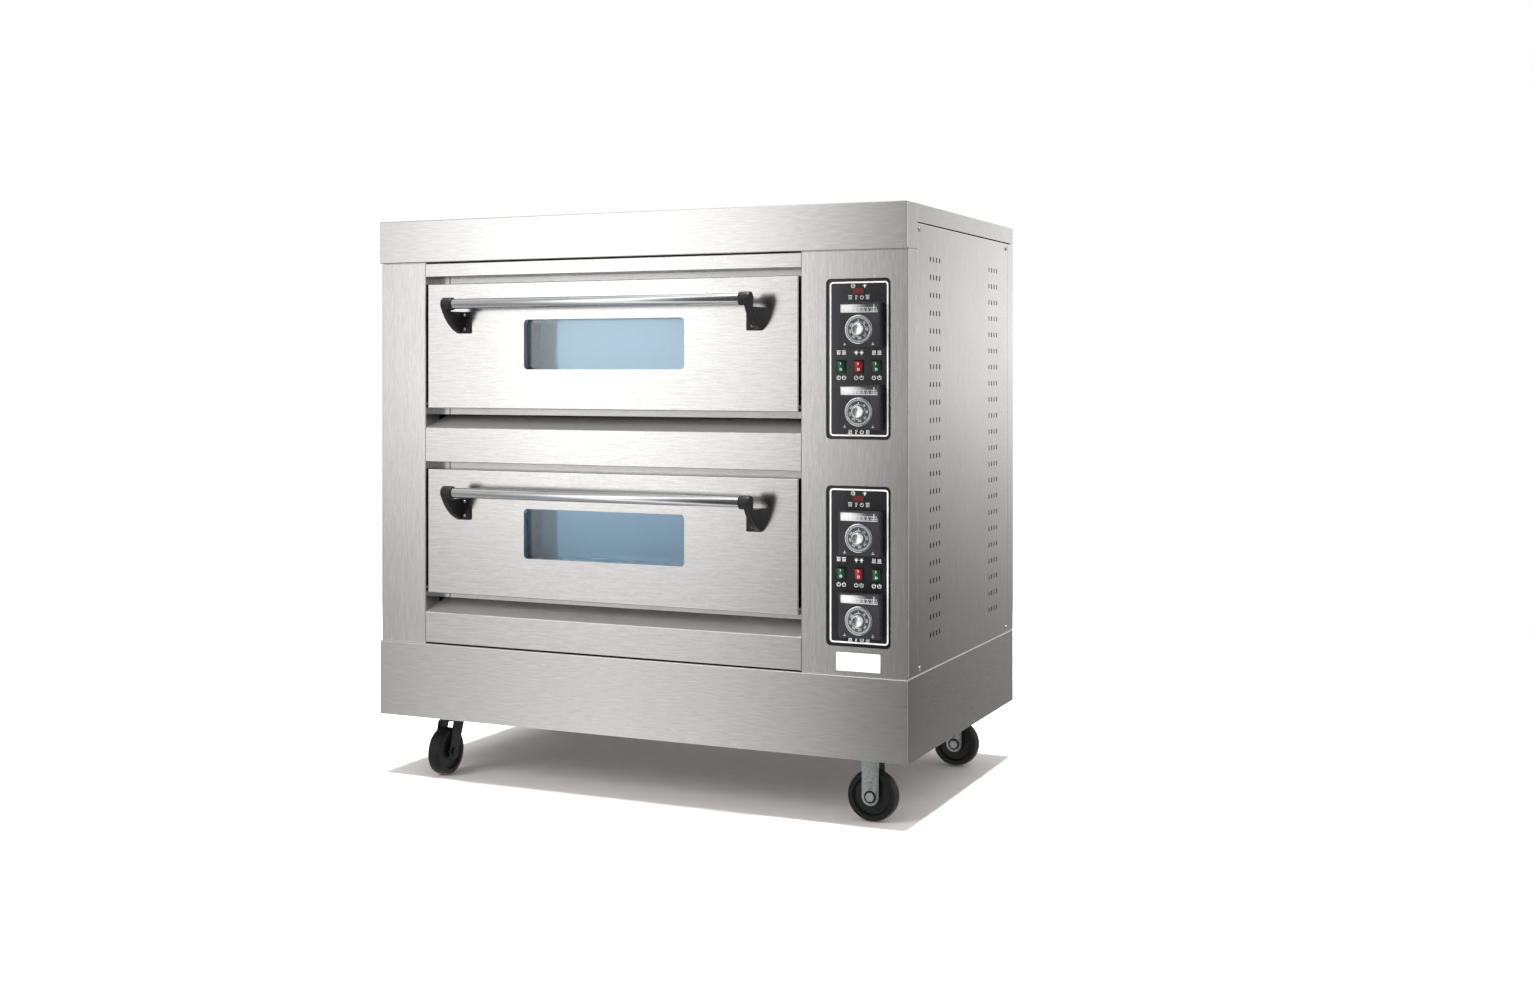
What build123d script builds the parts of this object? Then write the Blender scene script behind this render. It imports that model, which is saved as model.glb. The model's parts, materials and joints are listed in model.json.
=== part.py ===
from build123d import *
import os

# Two-deck electric bakery deck oven on castors, millimetres.
# X runs to the right, Y to the back, Z up. The origin is on the floor, under the middle of the
# whole oven. Each sub-part is written to its own STEP file.

# ------------------------------------------------------------------ driving sizes: the body
BODY_WIDTH = 1220.0
BODY_DEPTH = 758.0
BODY_HEIGHT = 1214.0
SHEET = 1.5
FOLD_RADIUS = 2.0
SEAM = 2.0
PANEL_INSET = 8.0

SKIRT_BOTTOM = 130.0
SKIRT_HEIGHT = 162.0
SKIRT_RETURN = 58.0
FASCIA_HEIGHT = 92.0
FASCIA_RETURN = 62.0
COVER_EDGE = 37.0
COVER_GAP = 0.5
REAR_RETURN = 46.0
SIDE_FLANGE = 12.0

LEFT_COLUMN_WIDTH = 115.0
CONTROL_COLUMN_WIDTH = 223.0
CORNER_FLANGE = 25.0

# ------------------------------------------------------------------ driving sizes: the decks
DECK_PITCH = 402.0
LOWER_DOOR_BOTTOM = 402.6
DOOR_HEIGHT = 270.0
DOOR_THICKNESS = 39.5
DOOR_SIDE_GAP = 5.5
GAP_ABOVE_DOOR = 15.5
GAP_BELOW_DOOR = 43.0
DOOR_REAR_GAP = 2.5
RAIL_FLANGE = 30.0
SILL_DEPTH = 87.0
SILL_RISE = 27.0
SILL_NOSE_RADIUS = 1.2

LEFT_FRAME_MEMBER = 35.5
RIGHT_FRAME_MEMBER = 33.5
FRAME_BELOW_DOOR = 13.7
MOUTH_LIFT = 25.0
MOUTH_HEIGHT = 220.0
REAR_SPACE = 66.5
INSULATION_TOP = 50.0
INSULATION_BOTTOM = 38.0
INSULATION_BACK = 40.0
INSULATION_LEFT = 60.0
INSULATION_RIGHT = 28.0
HEARTH_PLATE = 3.0
HEARTH_HEIGHT = 31.0
HEARTH_MARGIN = 6.0

# ------------------------------------------------------------------ driving sizes: the doors
WINDOW_WIDTH = 378.0
WINDOW_HEIGHT = 106.0
WINDOW_RADIUS = 9.0
WINDOW_RISE = 84.4
WINDOW_SHIFT = -4.0
WINDOW_RETURN = 15.0
PANE = 4.0
PANE_LIP = 6.0
WINDOW_BOX_DEPTH = 79.0
HINGE_RADIUS = 4.0
HINGE_SETBACK = 14.0
HINGE_LIFT = 10.0
HINGE_ENGAGEMENT = 14.0
HINGE_HEAD_RADIUS = 7.0
HINGE_HEAD = 3.0
RUNNING_FIT = 0.05
LOOSE_FIT = 0.5

HANDLE_RADIUS = 10.75
HANDLE_WALL = 1.5
HANDLE_STANDOFF = 57.0
HANDLE_DROP = 46.0
HANDLE_SPAN = 716.0
SOCKET_RADIUS = 13.75
SOCKET_LENGTH = 24.0
SOCKET_CAP = 5.0
BRACKET_WEB = 12.0
BRACKET_FLANGE_WIDTH = 33.0
BRACKET_FLANGE_HEIGHT = 46.5
BRACKET_FLANGE = 5.0
BRACKET_DROP = 62.0
BRACKET_BULGE = 9.0
BRACKET_LEAN = 6.3
BRACKET_NOSE = 11.0
BRACKET_FOOT_RADIUS = 3.0

# ------------------------------------------------------------------ driving sizes: controls
CONTROL_INSET = 103.4
CONTROL_RISES = {"lower": 102.2, "upper": 104.7}
PLATE_WIDTH = 133.5
PLATE_HEIGHT = 314.0
PLATE_RADIUS = 10.0
PLATE_RECESS = 4.5
PLATE_THICKNESS = 3.0
PLATE_LAP = 8.0
DIAL_RISES = (57.0, -103.0)
HOUSING_WIDTH = 84.0
HOUSING_HEIGHT = 87.0
HOUSING_PROUD = 22.0
HOUSING_SHIFT = 7.5
HOUSING_RADIUS = 3.0
HOUSING_LIFT = 9.3
HOUSING_BODY = 62.0
HOUSING_DEPTH = 55.0
SCALE_WIDTH = 78.0
SCALE_HEIGHT = 17.0
SCALE_RISE = 40.7
SCALE_RECESS = 3.0
DIAL_RADIUS = 28.0
DIAL_DISC = 1.2
DIAL_GAP = 0.5
KNOB_RADIUS = 11.75
KNOB_HEIGHT = 9.0
KNOB_SHAFT_RADIUS = 3.0
KNOB_SHAFT = 30.0
ROCKER_RISE = -14.7
ROCKER_PITCH = 36.5
ROCKER_WIDTH = 15.0
ROCKER_HEIGHT = 21.0
ROCKER_PROUD = 4.0
ROCKER_DISH = 1.5
ROCKER_DEPTH = 9.0
ROCKER_WAIST = 6.3
ROCKER_TILT = 8.0
ROCKER_CLEARANCE = 1.2
TRUNNION_RADIUS = 1.2
TRUNNION_REACH = 1.5
LAMP_RISE = 132.5
LAMP_WIDTH = 22.0
LAMP_HEIGHT = 11.0
LAMP_PROUD = 2.5
LAMP_EDGE = 1.5
LAMP_CROWN = 0.75
LAMP_DEPTH = 20.0
BEZEL_WIDTH = 20.0
BEZEL_HEIGHT = 26.0
BEZEL_RADIUS = 1.5
BEZEL_PROUD = 2.0
BEZEL_WALL = 1.2
BEZEL_DEPTH = 14.0

# ------------------------------------------------------------------ driving sizes: vents, screws
VENT_ROWS = 22
FRONT_VENT_INSET = 172.5
REAR_VENT_INSET = 168.0
VENT_TOP_MARGIN = 67.0
VENT_BOTTOM_MARGIN = 68.0
VENT_SLOT_PITCH = 20.0
VENT_SLOTS = 4
VENT_SLOT_WIDTH = 6.0
VENT_SLOT_HEIGHT = 10.0
SCREW_RADIUS = 5.0
SCREW_HEAD = 2.0
SCREW_CROWN = 1.2
SCREW_SHANK_RADIUS = 2.0
SCREW_SHANK = 6.0
SCREW_FRONT_INSET = 12.0
SCREW_REAR_INSET = 15.0
SCREW_EDGE_INSET = 12.0

# ------------------------------------------------------------------ driving sizes: inside
RAIL_TUBE = 40.0
POST_TUBE = 30.0
TUBE_WALL = 2.0
PAD_LENGTH = 120.0
PAD_WIDTH = 100.0
PAD = 4.0
ELEMENT_RADIUS = 4.0
ELEMENT_HOLE = 0.5
ELEMENT_LEG_PITCH = 70.0
ELEMENTS_PER_LEVEL = 5
ELEMENT_FRONT_GAP = 55.0
ELEMENT_TERMINAL = 12.0
ELEMENT_FLOOR = 14.0
ELEMENT_CEILING = 16.0
PROBE_RADIUS = 3.0
PROBE_REACH = 30.0
PROBE_TAIL = 20.0
PROBE_SETBACK = 180.0
CHAMBER_LAMP_RADIUS = 22.0
CHAMBER_LAMP_REACH = 8.0
CHAMBER_LAMP_BODY_RADIUS = 14.0
CHAMBER_LAMP_BODY = 45.0
CHAMBER_LAMP_SETBACK = 320.0
PARTITION_GAP = 1.0
CONTACTOR = (45.0, 78.0, 85.0)
CONTACTOR_PITCH = 130.0
CONTACTOR_INSET = 278.0
CONTACTOR_CROWN = (18.0, 46.8, 38.25)
TERMINAL_RISE = 42.0
CONTACTORS = 4
TERMINAL_BLOCK = (32.0, 110.0, 28.0)
GLAND_RADIUS = 14.0
GLAND_BORE = 8.0
GLAND_PROUD = 22.0
GLAND_FLANGE_RADIUS = 19.0
GLAND_FLANGE = 5.0
GLAND_INSIDE = 10.0
GLAND_INSET = 90.0
GLAND_RISE = 53.0

# ------------------------------------------------------------------ driving sizes: castors
WHEEL_RADIUS = 51.0
FORK_HEADROOM = 29.0
WHEEL_WIDTH = 32.0
WHEEL_CROWN = 4.0
HUB_RADIUS = 13.0
HUB_WIDTH = 34.0
WHEEL_DISH_RADIUS = 38.0
WHEEL_DISH = 6.0
FORK_INSIDE = 36.0
FORK_STEEL = 3.0
FORK_LEG = 35.0
AXLE_RADIUS = 5.0
AXLE_HEAD_RADIUS = 8.0
AXLE_HEAD = 4.0
CASTOR_PLATE_LENGTH = 104.0
CASTOR_PLATE_WIDTH = 80.0
CASTOR_PLATE = 4.0
RACE_RADIUS = 26.0
RACE_HEIGHT = 8.0
FORK_SHOULDER = 20.8
RACE_GAP = 0.3
KINGPIN_RADIUS = 6.0
KINGPIN_HEAD_RADIUS = 10.0
KINGPIN_HEAD = 3.0
TRAIL = 22.0
RIGID_INSET = 90.0
SWIVEL_INSET = 140.0
FRONT_CASTOR_INSET = 60.0
REAR_CASTOR_INSET = 146.0
SWIVEL_SETBACK = 12.0

# ------------------------------------------------------------------ levels worked out from them
LEFT = -BODY_WIDTH / 2
RIGHT = BODY_WIDTH / 2
FRONT_REACH = HANDLE_STANDOFF + SOCKET_RADIUS - PANEL_INSET
OVERALL_DEPTH = FRONT_REACH + BODY_DEPTH + GLAND_PROUD
FASCIA_Y = FRONT_REACH - OVERALL_DEPTH / 2
BACK = FASCIA_Y + BODY_DEPTH
FACE = FASCIA_Y + PANEL_INSET
CORNER_BACK = FASCIA_Y + FASCIA_RETURN

SKIRT_TOP = SKIRT_BOTTOM + SKIRT_HEIGHT
FASCIA_BOTTOM = BODY_HEIGHT - FASCIA_HEIGHT
COVER_BOTTOM = BODY_HEIGHT - COVER_EDGE
PANEL_TOP = COVER_BOTTOM - SEAM

CASTOR_HEIGHT = 2 * WHEEL_RADIUS + FORK_HEADROOM
OPENING_LEFT = LEFT + LEFT_COLUMN_WIDTH
OPENING_RIGHT = RIGHT - CONTROL_COLUMN_WIDTH
DOOR_LEFT = OPENING_LEFT + DOOR_SIDE_GAP
DOOR_RIGHT = OPENING_RIGHT - DOOR_SIDE_GAP
DOOR_MIDDLE = (DOOR_LEFT + DOOR_RIGHT) / 2
DOOR_BACK = FACE + DOOR_THICKNESS
FRAME_Y = DOOR_BACK + DOOR_REAR_GAP
LINER_Y = FRAME_Y + SHEET
MOUTH_LEFT = OPENING_LEFT + LEFT_FRAME_MEMBER
MOUTH_RIGHT = OPENING_RIGHT - RIGHT_FRAME_MEMBER
CHAMBER_BACK = BACK - REAR_SPACE
HINGE_Y = FACE + HINGE_SETBACK
CONTROL_SEAM = RIGHT - CORNER_FLANGE
PLATE_FACE = FACE + PLATE_RECESS
CONTROL_X = RIGHT - CONTROL_INSET
WINDOW_MIDDLE = DOOR_MIDDLE + WINDOW_SHIFT
HOUSING_X = CONTROL_X + HOUSING_SHIFT

INSULATION_FRONT = CORNER_BACK + SHEET
INSULATION_END = CHAMBER_BACK + SHEET + INSULATION_BACK
POST_RIGHT_X = MOUTH_RIGHT + SHEET + INSULATION_RIGHT + PARTITION_GAP
POST_LEFT_X = MOUTH_LEFT - SHEET - INSULATION_LEFT - PARTITION_GAP - POST_TUBE
PARTITION_X = POST_RIGHT_X + POST_TUBE + PARTITION_GAP
RAIL_BOTTOM = CASTOR_HEIGHT + PAD
RAIL_TOP = RAIL_BOTTOM + RAIL_TUBE

DECKS = {"lower": LOWER_DOOR_BOTTOM, "upper": LOWER_DOOR_BOTTOM + DECK_PITCH}
CONTROL_CENTRES = {deck: DECKS[deck] + rise for deck, rise in CONTROL_RISES.items()}
GLAND_X = RIGHT - GLAND_INSET
GLAND_Z = SKIRT_TOP + GLAND_RISE


def mouth_bottom(deck):
    return DECKS[deck] + MOUTH_LIFT


def mouth_top(deck):
    return mouth_bottom(deck) + MOUTH_HEIGHT


# ------------------------------------------------------------------ small building blocks
def block(x, y, z):
    """A box between two X, two Y and two Z levels."""
    centre = [(low + high) / 2 for low, high in (x, y, z)]
    return Pos(*centre) * Box(x[1] - x[0], y[1] - y[0], z[1] - z[0])


def around(middle, width):
    """The two levels of a span about its middle."""
    return (middle - width / 2, middle + width / 2)


def rod(start, axis, radius, length):
    """A round bar from a point along +X, -X, +Y, -Y, +Z or -Z."""
    turn = {"+X": (0, 90, 0), "-X": (0, -90, 0), "+Y": (-90, 0, 0), "-Y": (90, 0, 0)}
    turn.update({"+Z": (0, 0, 0), "-Z": (180, 0, 0)})
    bar = Cylinder(radius, length, align=(Align.CENTER, Align.CENTER, Align.MIN))
    return Pos(*start) * Rot(*turn[axis]) * bar


def folded(x, y, z, open_sides, wall=SHEET, fold=FOLD_RADIUS):
    """Sheet metal folded into a box that is open on the named sides, such as "+Y-Z"."""
    spans = {"X": x, "Y": y, "Z": z}
    hollow = []
    for name, (low, high) in spans.items():
        low += -wall if "-" + name in open_sides else wall
        high += wall if "+" + name in open_sides else -wall
        hollow.append((low, high))
    outer = block(x, y, z)
    folds = [edge for edge in outer.edges() if is_fold(edge, spans, open_sides)]
    return fillet(folds, fold) - block(*hollow)


def is_fold(edge, spans, open_sides):
    """True for an outer edge between two sides that both have a wall."""
    centre = edge.center()
    for name, level in (("X", centre.X), ("Y", centre.Y), ("Z", centre.Z)):
        low, high = spans[name]
        if abs(level - low) < SHEET / 2 and "-" + name in open_sides:
            return False
        if abs(level - high) < SHEET / 2 and "+" + name in open_sides:
            return False
    return True


def rounded_block(width, height, radius, x, z, y_front, y_back):
    """A plate in the XZ plane with rounded corners, between two Y levels."""
    outline = RectangleRounded(width, height, radius)
    plane = Plane(origin=(x, y_back, z), x_dir=(1, 0, 0), z_dir=(0, -1, 0))
    return extrude(plane * outline, y_back - y_front)


def mirrored(shape, x):
    """The shape's mirror image across the plane at X = x."""
    return mirror(shape, Plane(origin=(x, 0, 0), z_dir=(1, 0, 0)))


def write(node, *solids):
    """Writes one sub-part, which may be a group of separate solids."""
    shape = solids[0] if len(solids) == 1 else Compound(children=list(solids))
    shape.label = node
    export_step(shape, os.path.join("parts", node + ".step"))


# ------------------------------------------------------------------ shell of the oven
def shadow_cuts(x):
    """Narrow rebates that leave a dark seam under the fascia and over the skirt."""
    skin = (FACE - SHEET, FACE + SHEET)
    top = block(x, skin, (FASCIA_BOTTOM - SEAM, FASCIA_BOTTOM + SHEET))
    bottom = block(x, skin, (SKIRT_TOP - SHEET, SKIRT_TOP + SEAM))
    return top + bottom


def hinge_holes(wall_x):
    """Running holes for the two door hinge pins in a column's inner return."""
    start = wall_x - SHEET * 2
    radius = HINGE_RADIUS + RUNNING_FIT
    holes = [
        rod((start, HINGE_Y, bottom + HINGE_LIFT), "+X", radius, SHEET * 4)
        for bottom in DECKS.values()
    ]
    return holes[0] + holes[1]


def left_column():
    x = (LEFT, OPENING_LEFT)
    channel = folded(x, (FACE, CORNER_BACK), (SKIRT_TOP, FASCIA_BOTTOM), "+Y")
    return channel - shadow_cuts((LEFT - SHEET, OPENING_LEFT + SHEET)) - hinge_holes(OPENING_LEFT)


def control_column():
    """The right column, with a rimmed window for each control plate."""
    x = (OPENING_RIGHT, CONTROL_SEAM)
    channel = folded(x, (FACE, CORNER_BACK), (SKIRT_TOP, FASCIA_BOTTOM), "+X+Y")
    for z in CONTROL_CENTRES.values():
        rim = rounded_block(
            PLATE_WIDTH + 2 * SHEET,
            PLATE_HEIGHT + 2 * SHEET,
            PLATE_RADIUS + SHEET,
            CONTROL_X,
            z,
            FACE + SHEET / 2,
            PLATE_FACE,
        )
        window = rounded_block(
            PLATE_WIDTH, PLATE_HEIGHT, PLATE_RADIUS, CONTROL_X, z, FACE - SHEET, PLATE_FACE + SHEET
        )
        channel = channel + rim - window
    return channel - shadow_cuts((OPENING_RIGHT - SHEET, RIGHT)) - hinge_holes(OPENING_RIGHT)


def right_corner_post():
    x = (CONTROL_SEAM, RIGHT)
    post = folded(x, (FACE, CORNER_BACK), (SKIRT_TOP, FASCIA_BOTTOM), "-X+Y")
    return post - shadow_cuts((CONTROL_SEAM - SHEET, RIGHT + SHEET))


def rail(z_bottom, z_top):
    """A plain channel across the opening, between the two columns."""
    y = (FACE, FACE + RAIL_FLANGE)
    return folded((OPENING_LEFT, OPENING_RIGHT), y, (z_bottom, z_top), "-X+X+Y")


def rail_with_sill(z_bottom, deck):
    """A channel whose top is a sill that rises towards the chamber."""
    z_top = DECKS[deck] - GAP_BELOW_DOOR
    rise = SHEET * SILL_RISE / SILL_DEPTH
    outline = Polyline(
        (FACE, z_bottom),
        (FACE + RAIL_FLANGE, z_bottom),
        (FACE + RAIL_FLANGE, z_bottom + SHEET),
        (FACE + SHEET, z_bottom + SHEET),
        (FACE + SHEET, z_top - SHEET + rise),
        (FACE + SILL_DEPTH, z_top - SHEET + SILL_RISE),
        (FACE + SILL_DEPTH, z_top + SILL_RISE),
        (FACE, z_top),
        close=True,
    )
    section = Plane(origin=(OPENING_LEFT, 0, 0), x_dir=(0, 1, 0), z_dir=(1, 0, 0))
    solid = extrude(section * make_face(outline), OPENING_RIGHT - OPENING_LEFT)
    front = solid.edges().filter_by(Axis.X).sort_by(Axis.Y)[:2]
    return fillet(front, min(SILL_NOSE_RADIUS, SHEET / 2 + rise))


def top_rail():
    return rail(DECKS["upper"] + DOOR_HEIGHT + GAP_ABOVE_DOOR, FASCIA_BOTTOM - SEAM)


def middle_rail():
    return rail_with_sill(DECKS["lower"] + DOOR_HEIGHT + GAP_ABOVE_DOOR, "upper")


def bottom_rail():
    return rail_with_sill(SKIRT_TOP + SEAM, "lower")


def front_fascia():
    y = (FASCIA_Y, FASCIA_Y + FASCIA_RETURN)
    return folded((LEFT, RIGHT), y, (FASCIA_BOTTOM, BODY_HEIGHT), "+Y")


def top_cover():
    y = (FASCIA_Y + FASCIA_RETURN + COVER_GAP, BACK)
    return folded((LEFT, RIGHT), y, (COVER_BOTTOM, BODY_HEIGHT), "-Z")


def front_skirt():
    y = (FASCIA_Y, FASCIA_Y + SKIRT_RETURN)
    return folded((LEFT, RIGHT), y, (SKIRT_BOTTOM, SKIRT_TOP), "+Y-Z")


def rear_skirt():
    """The side and rear skirt with the floor plate that closes the body's underside."""
    y = (FASCIA_Y + SKIRT_RETURN, BACK)
    skirt = folded((LEFT, RIGHT), y, (SKIRT_BOTTOM, SKIRT_TOP), "-Y-Z")
    return skirt - post_holes()


def side_panel(x, open_side):
    """A tray-shaped side panel with a hole for each of its four screws."""
    y = (CORNER_BACK, BACK - REAR_RETURN)
    panel = folded(x, y, (SKIRT_TOP, PANEL_TOP), open_side)
    for hole_y, hole_z in screw_places():
        radius = SCREW_SHANK_RADIUS + LOOSE_FIT
        panel = panel - rod((x[0] - SHEET, hole_y, hole_z), "+X", radius, SIDE_FLANGE + 2 * SHEET)
    return panel


def vent_slots(x):
    """Two upright bands of short ventilation slots, each row with a few slots side by side."""
    lowest = SKIRT_TOP + VENT_BOTTOM_MARGIN
    step = (PANEL_TOP - VENT_TOP_MARGIN - lowest) / (VENT_ROWS - 1)
    across = VENT_SLOT_PITCH * (VENT_SLOTS - 1)
    slots = []
    for band in (FASCIA_Y + FRONT_VENT_INSET, BACK - REAR_VENT_INSET):
        for row in range(VENT_ROWS):
            z = around(lowest + row * step, VENT_SLOT_HEIGHT)
            for slot in range(VENT_SLOTS):
                middle = band - across / 2 + slot * VENT_SLOT_PITCH
                slots.append(block(x, around(middle, VENT_SLOT_WIDTH), z))
    return Compound(children=slots)


def left_side_panel():
    return side_panel((LEFT, LEFT + SIDE_FLANGE), "+X")


def right_side_panel():
    panel = side_panel((RIGHT - SIDE_FLANGE, RIGHT), "-X")
    return panel - vent_slots((RIGHT - 2 * SHEET, RIGHT + SHEET))


def rear_panel():
    y = (BACK - REAR_RETURN, BACK)
    panel = folded((LEFT, RIGHT), y, (SKIRT_TOP, PANEL_TOP), "-Y") - post_holes()
    hole = rod((GLAND_X, BACK - 2 * SHEET, GLAND_Z), "+Y", GLAND_RADIUS + LOOSE_FIT, 3 * SHEET)
    return panel - hole


def screw_places():
    """Y and Z of the screws that hold a side panel."""
    rows = (CORNER_BACK + SCREW_FRONT_INSET, BACK - REAR_RETURN - SCREW_REAR_INSET)
    levels = (SKIRT_TOP + SCREW_EDGE_INSET, PANEL_TOP - SCREW_EDGE_INSET)
    return [(y, z) for y in rows for z in levels]


def panel_screws():
    """Round-headed screws through the corners of both side panels."""
    screws = []
    for y, z in screw_places():
        head = rod((RIGHT, y, z), "+X", SCREW_RADIUS, SCREW_HEAD)
        head = fillet(head.edges().sort_by(Axis.X)[-1:], SCREW_CROWN)
        screw = head + rod((RIGHT, y, z), "-X", SCREW_SHANK_RADIUS, SCREW_SHANK)
        screws += [screw, mirrored(screw, 0)]
    return screws


# ------------------------------------------------------------------ chassis
def post_places():
    """X and Y spans of the four uprights."""
    front = FACE + SILL_DEPTH + SHEET
    rear = BACK - SHEET - PARTITION_GAP - RAIL_TUBE
    spans = []
    for x in (POST_LEFT_X, POST_RIGHT_X):
        for y in (front, rear):
            spans.append(((x, x + POST_TUBE), (y, y + POST_TUBE)))
    return spans


def post_holes():
    """Clearance for the uprights through the sheets at the top of the skirt."""
    z = (SKIRT_TOP - 2 * SHEET, SKIRT_TOP + 2 * SHEET)
    holes = []
    for x, y in post_places():
        hole_x = (x[0] - LOOSE_FIT, x[1] + LOOSE_FIT)
        holes.append(block(hole_x, (y[0] - LOOSE_FIT, y[1] + LOOSE_FIT), z))
    return Compound(children=holes)


def chassis():
    """Square tubes welded into a frame: base rails, castor pads, uprights and deck bearers."""
    tubes = []
    z = (RAIL_BOTTOM, RAIL_TOP)
    ends = (LEFT + SHEET, RIGHT - SHEET)
    cross = [
        around(FASCIA_Y + FRONT_CASTOR_INSET + SWIVEL_SETBACK / 2, RAIL_TUBE),
        around(BACK - REAR_CASTOR_INSET + SWIVEL_SETBACK / 2, RAIL_TUBE),
        (BACK - SHEET - PARTITION_GAP - RAIL_TUBE, BACK - SHEET - PARTITION_GAP),
    ]
    for y in cross:
        tubes.append(folded(ends, y, z, "-X+X", TUBE_WALL))
    runs = [
        around(POST_LEFT_X + POST_TUBE / 2, RAIL_TUBE),
        around(POST_RIGHT_X + POST_TUBE / 2, RAIL_TUBE),
    ]
    for x in runs:
        for y in ((cross[0][1], cross[1][0]), (cross[1][1], cross[2][0])):
            tubes.append(folded(x, y, z, "-Y+Y", TUBE_WALL))
    for x, y in post_places():
        tubes.append(folded(x, y, (RAIL_TOP, PANEL_TOP - SHEET), "-Z+Z", TUBE_WALL))
    for deck in DECKS:
        top = mouth_bottom(deck) - SHEET - INSULATION_BOTTOM
        for _, y in post_places()[:2]:
            x = (POST_LEFT_X + POST_TUBE, POST_RIGHT_X)
            tubes.append(folded(x, y, (top - POST_TUBE, top), "-X+X", TUBE_WALL))
    for x, y in castor_places():
        pad = (CASTOR_HEIGHT, CASTOR_HEIGHT + PAD)
        tubes.append(block(around(x, PAD_LENGTH), around(y, PAD_WIDTH), pad))
    return tubes


def castor_places():
    """Plan centres of the castor plates: two rigid ones, then two swivelling ones."""
    rows = (FASCIA_Y + FRONT_CASTOR_INSET, BACK - REAR_CASTOR_INSET)
    rigid = [(RIGHT - RIGID_INSET, y) for y in rows]
    swivel = [(LEFT + SWIVEL_INSET, y + SWIVEL_SETBACK) for y in rows]
    return rigid + swivel


# ------------------------------------------------------------------ chambers
def chamber_frame(deck):
    """Two upright members and two strips that frame the chamber's mouth."""
    y = (FRAME_Y, LINER_Y)
    bottom = DECKS[deck] - FRAME_BELOW_DOOR
    top = DECKS[deck] + DOOR_HEIGHT + GAP_ABOVE_DOOR + SHEET
    middle = (MOUTH_LEFT, MOUTH_RIGHT)
    return [
        block((OPENING_LEFT, MOUTH_LEFT), y, (bottom, top)),
        block((MOUTH_RIGHT, OPENING_RIGHT), y, (bottom, top)),
        block(middle, y, (bottom, mouth_bottom(deck))),
        block(middle, y, (mouth_top(deck), top)),
    ]


def element_levels(deck):
    """Heights of the elements under the hearth plate and under the ceiling."""
    return mouth_bottom(deck) + ELEMENT_FLOOR, mouth_top(deck) - ELEMENT_CEILING


def element_runs(deck):
    """X of each hairpin's left leg, with its height."""
    pitch = (MOUTH_RIGHT - MOUTH_LEFT) / ELEMENTS_PER_LEVEL
    first = MOUTH_LEFT + (pitch - ELEMENT_LEG_PITCH) / 2
    levels = element_levels(deck)
    return [(first + i * pitch, z) for i in range(ELEMENTS_PER_LEVEL) for z in levels]


def element_holes(deck, grow):
    """Holes for the element legs in the rear walls."""
    y = (CHAMBER_BACK - SHEET, INSULATION_END + SHEET)
    holes = []
    for x, z in element_runs(deck):
        for leg in (x, x + ELEMENT_LEG_PITCH):
            holes.append(rod((leg, y[0], z), "+Y", ELEMENT_RADIUS + grow, y[1] - y[0]))
    return Compound(children=holes)


def side_holes(deck, start, end):
    """Holes in the right-hand walls for the two probes and the lamp."""
    holes = []
    for x, y, z, radius in side_fittings(deck):
        holes.append(rod((start, y, z), "+X", radius + LOOSE_FIT, end - start))
    return Compound(children=holes)


def side_fittings(deck):
    """Place and radius of each thing that passes through the chamber's right wall."""
    y = LINER_Y + PROBE_SETBACK
    fittings = [(MOUTH_RIGHT, y, z, PROBE_RADIUS) for z in element_levels(deck)]
    lamp_y = LINER_Y + CHAMBER_LAMP_SETBACK
    middle = mouth_bottom(deck) + MOUTH_HEIGHT / 2
    return fittings + [(MOUTH_RIGHT, lamp_y, middle, CHAMBER_LAMP_BODY_RADIUS)]


def chamber_liner(deck):
    liner = folded(
        (MOUTH_LEFT - SHEET, MOUTH_RIGHT + SHEET),
        (LINER_Y, CHAMBER_BACK + SHEET),
        (mouth_bottom(deck) - SHEET, mouth_top(deck) + SHEET),
        "-Y",
    )
    liner = liner - side_holes(deck, MOUTH_RIGHT - SHEET, MOUTH_RIGHT + 2 * SHEET)
    return liner - element_holes(deck, ELEMENT_HOLE)


def chamber_insulation(deck):
    jacket = block(
        (MOUTH_LEFT - SHEET - INSULATION_LEFT, MOUTH_RIGHT + SHEET + INSULATION_RIGHT),
        (INSULATION_FRONT, INSULATION_END),
        (mouth_bottom(deck) - SHEET - INSULATION_BOTTOM, mouth_top(deck) + SHEET + INSULATION_TOP),
    )
    core = block(
        (MOUTH_LEFT - SHEET, MOUTH_RIGHT + SHEET),
        (INSULATION_FRONT - SHEET, CHAMBER_BACK + SHEET),
        (mouth_bottom(deck) - SHEET, mouth_top(deck) + SHEET),
    )
    jacket = jacket - core - element_holes(deck, ELEMENT_HOLE)
    return jacket - side_holes(deck, MOUTH_RIGHT, PARTITION_X)


def hearth_plate(deck):
    """The baking sole: a plate on folded legs over the lower elements and the lower probe."""
    x = (MOUTH_LEFT + HEARTH_MARGIN, MOUTH_RIGHT - HEARTH_MARGIN)
    y = (LINER_Y + HEARTH_MARGIN, CHAMBER_BACK - HEARTH_MARGIN)
    z = (mouth_bottom(deck), mouth_bottom(deck) + HEARTH_HEIGHT)
    plate = folded(x, y, z, "-Y+Y-Z", HEARTH_PLATE)
    return plate - side_holes(deck, x[1] - 2 * HEARTH_PLATE, x[1] + HEARTH_PLATE)


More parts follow.
